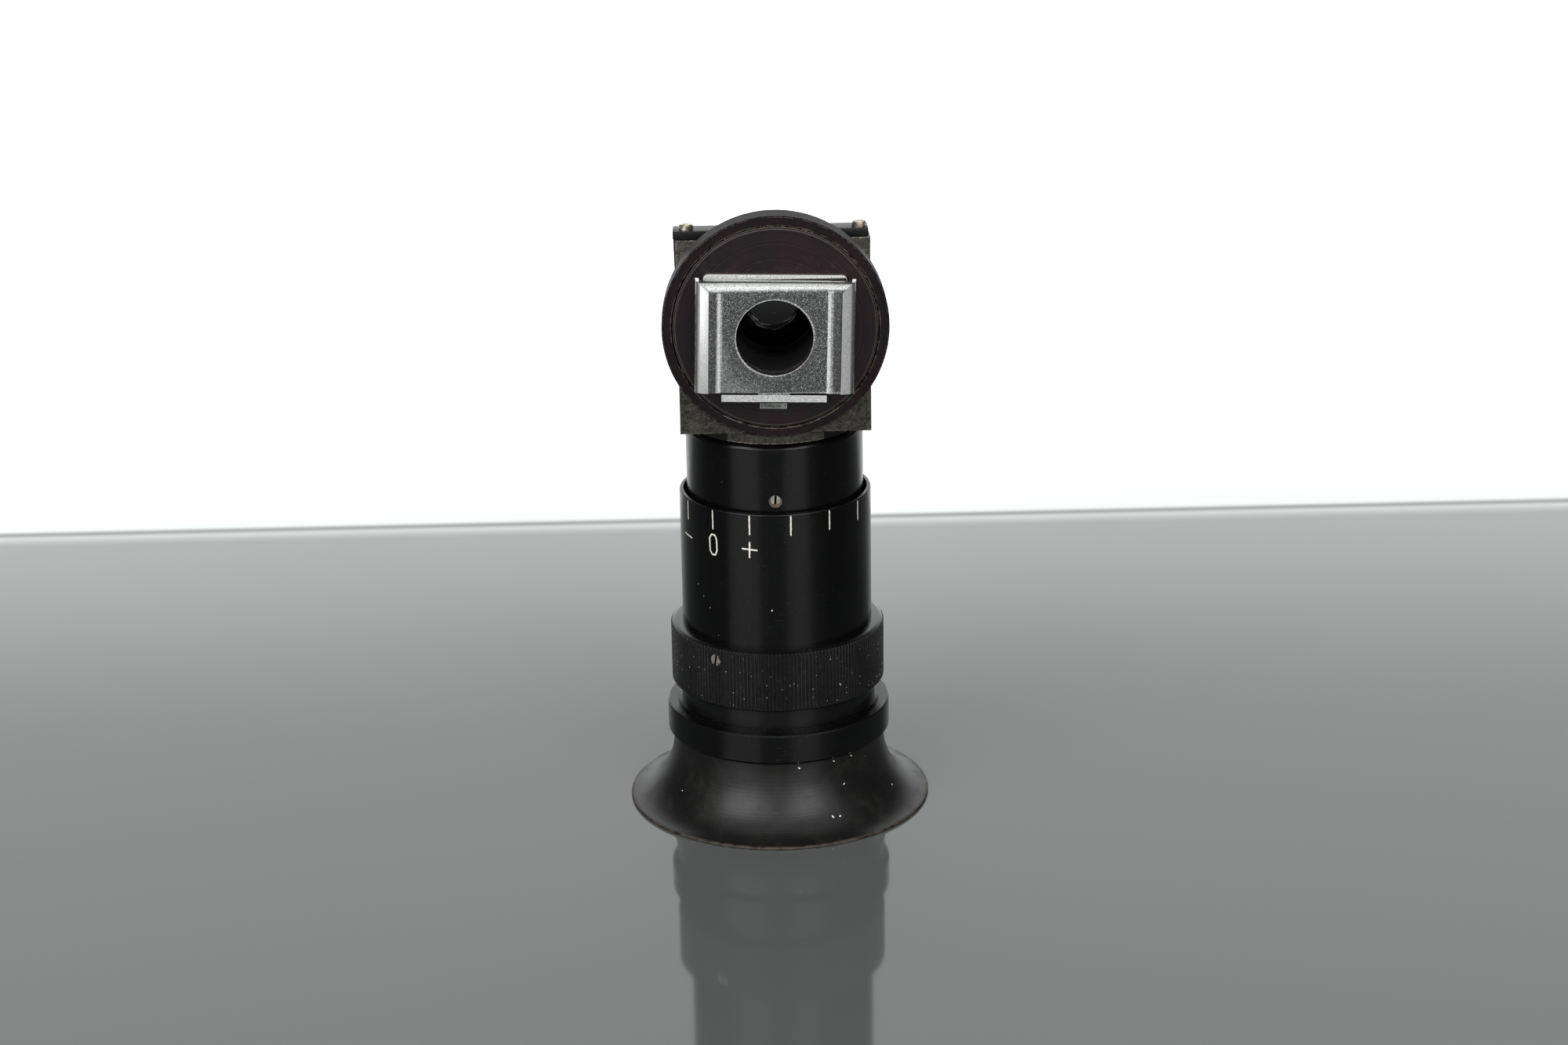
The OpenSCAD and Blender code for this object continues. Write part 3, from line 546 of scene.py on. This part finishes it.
def nickel_look(name="worn_nickel", slot_top=0.0):
    """Worn nickel with some dirt. What lies below slot_top, a distance from the tube's axis, is painted
    near black: painted shade in the screw's slot.
    """
    look = Look(name, (0.82, 0.74, 0.62), rough=0.28, metallic=1.0)
    look.shade(look.noise(2.2, 4.0, 0.6), 0.6, 1.25)
    look.roughen(look.noise(3.0, 3.0), 0.5)
    dirt = look.step(look.noise(1.4, 4.0, 0.65), 0.5, 0.66)
    look.tint(look.math("MULTIPLY", dirt, 0.7), (0.1, 0.075, 0.05))
    look.bump(look.noise(8.0, 3.0), 0.02, 0.6)
    look.worn_edges(0.1, (0.9, 0.86, 0.78), amount=0.25, scale=2.0, metallic=1.0, rough=0.2)
    if slot_top:
        # Painted shade in the slot.
        slot = look.step(look.radius(), slot_top, slot_top - 0.04)
        look.tint(slot, (0.01, 0.009, 0.008))
        look.roughen(slot, 0.8)
    return look.done()


def brass_look():
    look = Look("turned_brass", (0.6, 0.43, 0.18), rough=0.3, metallic=1.0)
    look.shade(look.noise(0.8, 4.0), 0.7, 1.2)
    look.bump(look.line_noise(look.radius(), 8.0, 3.0), 0.01, 0.6)
    look.roughen(look.noise(2.0, 3.0), 0.48)
    return look.done()


def inner_black_look():
    look = Look("matt_black_inside", (0.004, 0.004, 0.004), rough=0.6, specular=0.2)
    look.shade(look.noise(1.0, 3.0), 0.7, 1.4)
    look.bump(look.noise(7.0, 3.0), 0.01, 0.6)
    look.specks(1.4, 0.04, 0.04, (0.2, 0.18, 0.15))
    return look.done()


def glass_look(name, tint):
    look = Look(name, tint, rough=0.02, specular=0.05)
    look.shader.inputs["Transmission Weight"].default_value = 1.0
    look.shader.inputs["IOR"].default_value = 1.5
    look.shade(look.noise(0.3, 2.0), 0.92, 1.05)
    look.rough = look.blend(look.step(look.noise(1.2, 4.0), 0.5, 0.8), 0.015, 0.07)
    look.specks(0.8, 0.04, 0.05, (0.3, 0.28, 0.25))
    return look.done()


def felt_look():
    look = Look("black_felt", (0.02, 0.019, 0.018), rough=0.9, specular=0.2)
    look.shader.inputs["Sheen Weight"].default_value = 0.4
    look.shade(look.noise(6.0, 4.0, 0.7), 0.5, 1.6)
    look.bump(look.noise(10.0, 4.0, 0.7), 0.06, 0.9)
    return look.done()


def fibre_look():
    look = Look("vulcanised_fibre", (0.15, 0.06, 0.03), rough=0.55, specular=0.35)
    look.shade(look.noise(1.2, 4.0, 0.6), 0.6, 1.4)
    look.bump(look.noise(5.0, 4.0, 0.6), 0.02, 0.7)
    return look.done()


def paint_look():
    """Cream paint, rubbed into hand-engraved strokes."""
    look = Look("scale_paint", (0.88, 0.84, 0.74), rough=0.55, specular=0.4)
    look.shade(look.noise(2.4, 3.0, 0.6), 0.75, 1.15)
    gaps = look.step(look.noise(3.2, 3.0, 0.6), 0.66, 0.72)
    look.tint(look.math("MULTIPLY", gaps, 0.8), (0.05, 0.045, 0.04))
    look.bump(look.noise(9.0, 3.0), 0.02, 0.7)
    return look.done()


def fleck_look():
    look = Look("pale_flecks", (0.92, 0.88, 0.8), rough=0.7, specular=0.3)
    look.shade(look.noise(5.0, 3.0, 0.6), 0.75, 1.1)
    look.bump(look.noise(12.0, 3.0), 0.02, 0.7)
    return look.done()


def dust_look():
    look = Look("tan_dust", (0.3, 0.22, 0.14), rough=0.85, specular=0.2)
    look.shade(look.noise(4.0, 4.0, 0.7), 0.35, 1.5)
    look.bump(look.noise(9.0, 4.0, 0.7), 0.05, 0.9)
    return look.done()


# ================= meshes =================

def new_piece(name, bm, material, body, smooth_below=35):
    """Turns a bmesh into a piece that rides on a body."""
    bmesh.ops.recalc_face_normals(bm, faces=bm.faces)
    for face in bm.faces:
        face.smooth = True
    for edge in bm.edges:
        edge.smooth = not edge.is_manifold or edge.calc_face_angle() < math.radians(smooth_below)
    mesh = bpy.data.meshes.new(name)
    bm.to_mesh(mesh)
    bm.free()
    piece = bpy.data.objects.new(name, mesh)
    bpy.context.collection.objects.link(piece)
    mesh.materials.append(material)
    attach(piece, body)
    return piece


def softened(node, body, material, radius, longer_than, segments):
    """A copy of a CAD node with its sharp edges rounded, which replaces the node."""
    bm = bmesh.new()
    bm.from_mesh(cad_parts[node].data)
    bmesh.ops.remove_doubles(bm, verts=bm.verts, dist=1e-6)
    bmesh.ops.dissolve_limit(
        bm, angle_limit=math.radians(0.5), verts=bm.verts, edges=bm.edges,
    )
    sharp = [
        edge for edge in bm.edges
        if edge.is_manifold and longer_than * MM < edge.calc_length()
        and edge.calc_face_angle() > math.radians(28)
    ]
    bmesh.ops.bevel(
        bm, geom=sharp, offset=radius * MM, offset_type="OFFSET", segments=segments,
        profile=0.5, affect="EDGES", clamp_overlap=True,
    )
    piece = new_piece(node + "_piece", bm, material, body)
    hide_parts(node)


def on_tube(angle, radius, z):
    """A point round the tube, its angle in degrees counted from the front towards +X."""
    a = math.radians(angle)
    return Vector((radius * math.sin(a), -radius * math.cos(a), z)) * MM


def cut_holes(piece, cutters):
    """Cuts closed shapes out of a piece, and applies the result to its mesh."""
    for cutter in cutters:
        modifier = piece.modifiers.new("hole", "BOOLEAN")
        modifier.operation = "DIFFERENCE"
        modifier.solver = "EXACT"
        modifier.object = cutter
    bpy.context.view_layer.update()
    ready = piece.evaluated_get(bpy.context.evaluated_depsgraph_get())
    mesh = bpy.data.meshes.new_from_object(ready)
    piece.modifiers.clear()
    piece.data = mesh
    for cutter in cutters:
        bpy.data.objects.remove(cutter)


def radial_cutter(angle, r0, r1, z, radius):
    """A rod that points away from the tube's axis."""
    bm = bmesh.new()
    bmesh.ops.create_cone(
        bm, cap_ends=True, segments=40, radius1=radius * MM, radius2=radius * MM,
        depth=(r1 - r0) * MM,
    )
    a = math.radians(angle)
    outward = Vector((math.sin(a), -math.cos(a), 0))
    turn = outward.to_track_quat("Z", "Y").to_matrix().to_4x4()
    turn.translation = on_tube(angle, (r0 + r1) / 2, z)
    bmesh.ops.transform(bm, matrix=turn, verts=bm.verts)
    mesh = bpy.data.meshes.new("cutter")
    bm.to_mesh(mesh)
    bm.free()
    cutter = bpy.data.objects.new("cutter", mesh)
    bpy.context.collection.objects.link(cutter)
    return cutter


def make_knurled_ring(material):
    """The dioptre ring with its straight knurl, cut by the bevels at both ends."""
    root = KNURL_R - KNURL_DEPTH
    rim = KNURL_R - KNURL_BEVEL_W
    root_rise = KNURL_CHAMFER - KNURL_DEPTH
    root_drop = KNURL_BEVEL_H * (1 - KNURL_DEPTH / KNURL_BEVEL_W)
    profile = [
        (KNURL_R - KNURL_CHAMFER, KNURL_Z0), (root, KNURL_Z0 + root_rise),
        (KNURL_R, KNURL_Z0 + KNURL_CHAMFER), (KNURL_R, KNURL_Z1 - KNURL_BEVEL_H),
        (root, KNURL_Z1 - root_drop), (rim + 0.05, KNURL_Z1 - 0.03), (rim - 0.03, KNURL_Z1),
        (KNURL_SEAT, KNURL_Z1), (KNURL_SEAT, KNURL_STEP_Z), (KNURL_BORE, KNURL_STEP_Z),
        (KNURL_BORE, KNURL_Z0),
    ]
    steps = (0.0, 0.0, 0.35, 1.0, 1.0, 1.0, 0.35, 0.0)   # height of a tooth round one pitch
    columns = KNURL_TEETH * len(steps)
    bm = bmesh.new()
    loops = []
    for column in range(columns):
        angle = 360 * column / columns
        tooth = root + KNURL_DEPTH * steps[column % len(steps)]
        loops.append([bm.verts.new(on_tube(angle, min(r, tooth), z)) for r, z in profile])
    for column in range(columns):
        here, there = loops[column], loops[(column + 1) % columns]
        for row in range(len(profile)):
            after = (row + 1) % len(profile)
            bm.faces.new((here[row], there[row], there[after], here[after]))
    piece = new_piece("knurled_ring_piece", bm, material, "dioptre_ring", 25)
    cutters = [
        radial_cutter(angle, SLEEVE_R - 1, KNURL_R + 1, SET_SCREW_Z, SET_SCREW_R)
        for angle in SET_SCREW_ANGLES
    ]
    cut_holes(piece, cutters)
    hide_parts("knurled_ring")


def add_stroke(bm, points, width, rng, closed=False):
    """A thin painted stroke on the sleeve, through points given as (angle in degrees, height)."""
    spacing = 0.22
    path = []
    ends = points[1:] + points[:1] if closed else points[1:]
    for (a0, z0), (a1, z1) in zip(points, ends):
        length = math.hypot(math.radians(a1 - a0) * SLEEVE_R, z1 - z0)
        count = max(1, round(length / spacing))
        path += [(a0 + (a1 - a0) * i / count, z0 + (z1 - z0) * i / count) for i in range(count)]
    if not closed:
        path.append(points[-1])
    per_degree = math.radians(1) * SLEEVE_R
    sections = []
    for i, (a, z) in enumerate(path):
        before = path[i - 1] if closed or i else path[i]
        after = path[(i + 1) % len(path)] if closed or i + 1 < len(path) else path[i]
        along = Vector(((after[0] - before[0]) * per_degree, after[1] - before[1])).normalized()
        across = Vector((-along.y, along.x))
        half = width / 2 * rng.uniform(0.82, 1.12)
        if not closed and i in (0, len(path) - 1):
            half *= 0.6
        drift = rng.uniform(-0.02, 0.02)
        section = []
        for side, rise in ((1, -0.03), (1, 0.006), (0.35, 0.014), (-0.35, 0.014), (-1, 0.006), (-1, -0.03)):
            offset = across * (half * side + drift)
            place = on_tube(a + offset.x / per_degree, SLEEVE_R + rise, z + offset.y)
            section.append(bm.verts.new(place))
        sections.append(section)
    pairs = list(zip(sections, sections[1:]))
    if closed:
        pairs.append((sections[-1], sections[0]))
    for here, there in pairs:
        for k in range(len(here)):
            n = (k + 1) % len(here)
            bm.faces.new((here[k], here[n], there[n], there[k]))
    if not closed:
        bm.faces.new(sections[0])
        bm.faces.new(sections[-1])


def make_scale(material):
    """The dioptre scale: a row of lines at the sleeve's rim, and minus, zero and plus under it."""
    rng = random.Random(11)
    bm = bmesh.new()
    for k in SCALE_MARKS:
        angle = SCALE_ZERO + SCALE_STEP * k
        low = MARK_BOTTOM + rng.uniform(-0.08, 0.08)
        add_stroke(bm, [(angle, MARK_TOP), (angle + rng.uniform(-0.1, 0.1), low)], 0.25, rng)
    minus = SCALE_ZERO - SCALE_STEP
    add_stroke(bm, [(minus - 5.2, 48.9), (minus + 4.6, 48.7)], 0.24, rng)
    zero = [
        (-1.02, 50.7), (1.36, 50.65), (2.635, 49.9), (2.72, 48.0), (1.53, 47.25), (-0.85, 47.2),
        (-2.55, 47.9), (-2.72, 50.0),
    ]
    add_stroke(bm, [(SCALE_ZERO + a, z) for a, z in zero], 0.27, rng, closed=True)
    plus = SCALE_ZERO + SCALE_STEP
    add_stroke(bm, [(plus, 50.4), (plus - 0.2, 47.6)], 0.28, rng)
    add_stroke(bm, [(plus - 4.9, 49.15), (plus + 4.7, 49.0)], 0.27, rng)
    new_piece("scale_marks", bm, material, "dioptre_ring")


def add_fleck(bm, centre, normal, size, rng):
    """An irregular chip that lies on a surface, with its underside just below it."""
    normal = normal.normalized()
    side = normal.orthogonal().normalized()
    other = normal.cross(side)
    corners = 7
    low, high = [], []
    stretch = rng.uniform(0.7, 1.3)
    for i in range(corners):
        a = 2 * math.pi * (i + rng.uniform(-0.25, 0.25)) / corners
        r = size / 2 * rng.uniform(0.7, 1.2)
        outward = side * (r * math.cos(a) * stretch) + other * (r * math.sin(a) / stretch)
        low.append(bm.verts.new(centre + (outward - normal * 0.02) * MM))
        high.append(bm.verts.new(centre + (outward * 0.75 + normal * size * 0.1) * MM))
    top = bm.verts.new(centre + normal * size * 0.125 * MM)
    bm.faces.new(low)
    for i in range(corners):
        n = (i + 1) % corners
        bm.faces.new((low[i], low[n], high[n], high[i]))
        bm.faces.new((high[i], high[n], top))


def surface_point(node, origin, toward):
    """Where a ray meets a CAD node, and the surface's normal there."""
    hit, place, normal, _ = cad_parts[node].ray_cast(origin, toward)
    if not hit:
        raise ValueError("no surface under a fleck on " + node)
    return place, normal


def make_flecks(name, node, body, places, material, seed):
    """Pale specks on a turned part, each given as (angle, height, size)."""
    rng = random.Random(seed)
    bm = bmesh.new()
    for angle, z, size in places:
        start = on_tube(angle, 40, z)
        place, normal = surface_point(node, start, on_tube(angle, -1, 0).normalized())
        add_fleck(bm, place, normal, size, rng)
    new_piece(name, bm, material, body)


# (angle, height, size) of each fleck
CUP_FLECKS = [
    (9.4, 11.25, 0.42), (29.4, 11.5, 0.36), (41.0, 11.5, 0.34), (34.3, 7.2, 0.36), (23.7, 2.95, 0.5),
    (27.2, 2.85, 0.4), (68.3, 3.5, 0.3), (-58.0, 4.5, 0.22), (150.0, 6.0, 0.35), (200.0, 3.0, 0.3),
    (255.0, 8.0, 0.3), (120.0, 2.5, 0.28),
]
SLEEVE_FLECKS = [
    (-4.1, 38.6, 0.3), (-55.5, 41.1, 0.16), (-45.0, 37.7, 0.18), (-50.3, 39.4, 0.14),
    (130.0, 44.0, 0.24), (215.0, 36.0, 0.2),
]


def make_knurl_flecks(material):
    """Dust on the tops of the teeth, clear of the set screws, and one larger chip at the front right."""
    rng = random.Random(5)
    pitch = 360 / KNURL_TEETH
    places = [(16.5 * pitch, 25.0, 0.3)]
    while len(places) < 200:
        angle = (rng.randrange(KNURL_TEETH) + 0.5) * pitch
        if all(abs((angle - screw + 180) % 360 - 180) > 6 for screw in SET_SCREW_ANGLES):
            places.append((angle, rng.uniform(KNURL_Z0 + 0.5, KNURL_Z1 - 0.6), rng.uniform(0.07, 0.17)))
    bm = bmesh.new()
    for angle, z, size in places:
        add_fleck(bm, on_tube(angle, KNURL_R, z), on_tube(angle, 1, 0), size, rng)
    new_piece("knurl_flecks", bm, material, "dioptre_ring")


def make_groove_dust(material):
    """Crumbs of tan dust in the running gap round the swivelling disc."""
    rng = random.Random(4)
    bm = bmesh.new()
    for i in range(300):
        spread = rng.gauss(15, 38) if i % 4 else rng.uniform(-70, 330)
        angle = math.radians(spread)
        size = rng.uniform(0.07, 0.2)
        radius = rng.uniform(DISC_R + 0.08, FLANGE_IN - 0.08)
        y = -rng.uniform(-FACE_Y - 0.6, -FACE_Y - 0.18)
        centre = Vector((radius * math.sin(angle), y, SIGHT_Z + radius * math.cos(angle))) * MM
        first = len(bm.verts)
        bmesh.ops.create_icosphere(bm, subdivisions=1, radius=size / 2 * MM)
        bm.verts.ensure_lookup_table()
        for vert in bm.verts[first:]:
            vert.co = centre + vert.co * rng.uniform(0.6, 1.15)
    new_piece("groove_dust", bm, material, "housing", 10)


# ================= scene =================

def make_camera():
    data = bpy.data.cameras.new("camera")
    data.lens = CAMERA_LENS
    data.sensor_width = 36
    camera = bpy.data.objects.new("camera", data)
    bpy.context.collection.objects.link(camera)
    forward = Vector((
        math.sin(CAMERA_PAN) * math.cos(CAMERA_PITCH),
        math.cos(CAMERA_PAN) * math.cos(CAMERA_PITCH),
        -math.sin(CAMERA_PITCH),
    ))
    right = forward.cross(Vector((0, 0, 1))).normalized()
    up = right.cross(forward)
    turned_right = right * math.cos(CAMERA_ROLL) + up * math.sin(CAMERA_ROLL)
    turned_up = up * math.cos(CAMERA_ROLL) - right * math.sin(CAMERA_ROLL)
    axes = Matrix((turned_right, turned_up, -forward)).transposed()
    side = Matrix.Rotation(-CAMERA_SIDE, 3, "Z")
    place = side @ Vector((0, -CAMERA_DISTANCE, CAMERA_HEIGHT)) * MM
    camera.matrix_world = Matrix.Translation(place) @ (side @ axes).to_4x4()
    bpy.context.scene.camera = camera


def make_floor():
    """A glossy grey floor that turns pale beyond a line behind the object. Its colour is darker at the
    front and paler towards that line, and paler again far behind: painted shade and painted light on the
    floor.
    """
    look = Look("floor", (0.115, 0.122, 0.119), rough=0.06)
    look.shader.inputs["IOR"].default_value = 1.5
    # Painted shade and light: darker at the front, paler towards the plate's edge.
    look.tint(look.step(look.y, 20.0, PLATE_EDGE_Y - 6), (0.27, 0.28, 0.275))
    beyond = look.step(look.y, PLATE_EDGE_Y - 8, PLATE_EDGE_Y + 8)
    look.tint(beyond, (0.8, 0.82, 0.81))
    # Painted light: paler still far behind.
    look.tint(look.both(beyond, look.step(look.y, 700.0, 250.0)), (0.97, 0.99, 0.98))
    look.tint(look.band(look.y, PLATE_EDGE_Y - 1, PLATE_EDGE_Y + 2, 1.5), (0.22, 0.225, 0.225))
    look.shade(look.noise(0.01, 2.0), 0.97, 1.03)
    bm = bmesh.new()
    bmesh.ops.create_grid(bm, x_segments=1, y_segments=1, size=8000 * MM)
    mesh = bpy.data.meshes.new("floor")
    bm.to_mesh(mesh)
    bm.free()
    floor = bpy.data.objects.new("floor", mesh)
    bpy.context.collection.objects.link(floor)
    mesh.materials.append(look.done())


def softbox(name, azimuth, elevation, distance, size, radiance, aim=(0, 0, 0.055), spread=180):
    """An area light, with its lengths in metres. Azimuth 0 is in front, and grows towards +X."""
    light = bpy.data.lights.new(name, "AREA")
    light.shape = "RECTANGLE"
    light.size, light.size_y = size
    light.spread = math.radians(spread)
    light.energy = radiance * math.pi * size[0] * size[1]
    lamp = bpy.data.objects.new(name, light)
    bpy.context.collection.objects.link(lamp)
    lamp.visible_camera = False
    a, e = math.radians(azimuth), math.radians(elevation)
    away = Vector((math.sin(a) * math.cos(e), -math.cos(a) * math.cos(e), math.sin(e)))
    lamp.location = Vector(aim) + away * distance
    lamp.rotation_euler = away.to_track_quat("Z", "Y").to_euler()


def make_world():
    """A dim studio with a white wall behind the object and a broad soft light in front, high up."""
    world = bpy.data.worlds.new("studio")
    bpy.context.scene.world = world
    world.use_nodes = True
    tree = world.node_tree
    place = tree.nodes.new("ShaderNodeTexCoord").outputs["Generated"]

    def node(kind, operation, *values):
        made = tree.nodes.new(kind)
        made.operation = operation
        for socket, value in zip(made.inputs, values):
            if isinstance(value, bpy.types.NodeSocket):
                tree.links.new(value, socket)
            else:
                socket.default_value = value
        return made.outputs["Value"]

    def lit(direction, low, high, strength):
        """A round field of light: full where the dot product with its direction is above high."""
        towards = node("ShaderNodeVectorMath", "DOT_PRODUCT", place, Vector(direction).normalized())
        ramp = tree.nodes.new("ShaderNodeMapRange")
        ramp.interpolation_type = "SMOOTHSTEP"
        ramp.inputs["From Min"].default_value = low
        ramp.inputs["From Max"].default_value = high
        ramp.inputs["To Max"].default_value = strength
        tree.links.new(towards, ramp.inputs["Value"])
        return ramp.outputs["Result"]

    behind = lit((0, 1, 0.3), 0.75, 0.95, WALL_BEHIND)
    front = lit((0, -1, 1.05), 0.56, 0.7, FRONT_LIGHT)
    total = node("ShaderNodeMath", "ADD", behind, node("ShaderNodeMath", "ADD", front, ROOM_LIGHT))
    background = tree.nodes["Background"]
    background.inputs["Color"].default_value = (0.97, 1.0, 0.985, 1)
    tree.links.new(total, background.inputs["Strength"])


def make_lights():
    softbox(
        "back", azimuth=180, elevation=90, distance=0.9, size=(2.4, 1.3), radiance=7.0,
        aim=(0, 1.25, 0), spread=75,
    )
    softbox("left", azimuth=-40, elevation=24, distance=0.9, size=(0.6, 0.72), radiance=3.4)
    softbox("right", azimuth=26, elevation=24, distance=0.9, size=(0.44, 0.72), radiance=3.2)


def dress_nodes():
    """Gives every CAD node that stays in view its material."""
    inside = inner_black_look()
    brass = brass_look()
    # The glass is tinted almost black: painted shade for the dark inside of the finder seen through it.
    glass = glass_look("coated_glass_painted_dark", (0.04, 0.036, 0.04))
    nickel = nickel_look()
    finish = {
        "eyecup": eyecup_look(),
        "eyecup_ring": black_metal("ring_metal", rough=0.2, tone=0.003, worn=0.08, dust=0.02).done(),
        "ocular_barrel": black_metal("barrel_metal", rough=0.24, tone=0.0055, worn=0.1, dust=0.02).done(),
        "dioptre_sleeve": black_metal("sleeve_metal", rough=0.2, tone=0.0025, worn=0.14, dust=0.012).done(),
        "fixed_tube": tube_look(),
        "flange_cup": flange_look(),
        "swivel_disc": disc_look(),
        "swivel_washer": fibre_look(),
        "prism_pads": felt_look(),
        "eye_lens": glass, "field_lens": glass, "prism": glass, "objective_lens": glass,
        "sleeve_bush": brass, "sleeve_retainer": brass, "tube_lock_ring": brass, "hub_ring": brass,
        "guide_screw": nickel_look("guide_screw_nickel", GUIDE_SLOT_TOP),
        "ring_set_screws": nickel_look("set_screw_nickel", SET_SLOT_TOP),
        "flange_screws": nickel, "base_screws": nickel, "cover_screws": nickel,
        "eye_lens_ring": inside, "lens_spacer": inside, "field_lens_ring": inside,
        "field_stop": inside, "objective_ring": inside, "prism_cradle": inside,
        "shoe_spacer": purple_metal("spacer_metal", tone=1.4).done(),
    }
    for node, material in finish.items():
        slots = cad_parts[node].data.materials
        slots.clear()
        slots.append(material)


bpy.context.scene.view_settings.view_transform = "Standard"
make_camera()
make_floor()
make_world()
make_lights()
dress_nodes()
make_knurled_ring(knurl_look())
make_scale(paint_look())
flecks = fleck_look()
make_flecks("cup_flecks", "eyecup", "eyepiece", CUP_FLECKS, flecks, 21)
make_flecks("sleeve_flecks", "dioptre_sleeve", "dioptre_ring", SLEEVE_FLECKS, flecks, 22)
make_knurl_flecks(flecks)
make_groove_dust(dust_look())
softened("prism_housing", "housing", hammered_look(), radius=0.35, longer_than=3.0, segments=3)
softened("cover_plate", "housing", cover_look(), radius=0.12, longer_than=1.0, segments=2)
softened("shoe_frame", "shoe", steel_look(), radius=0.06, longer_than=0.25, segments=2)
softened("base_plate", "shoe", base_look(), radius=0.2, longer_than=0.25, segments=3)
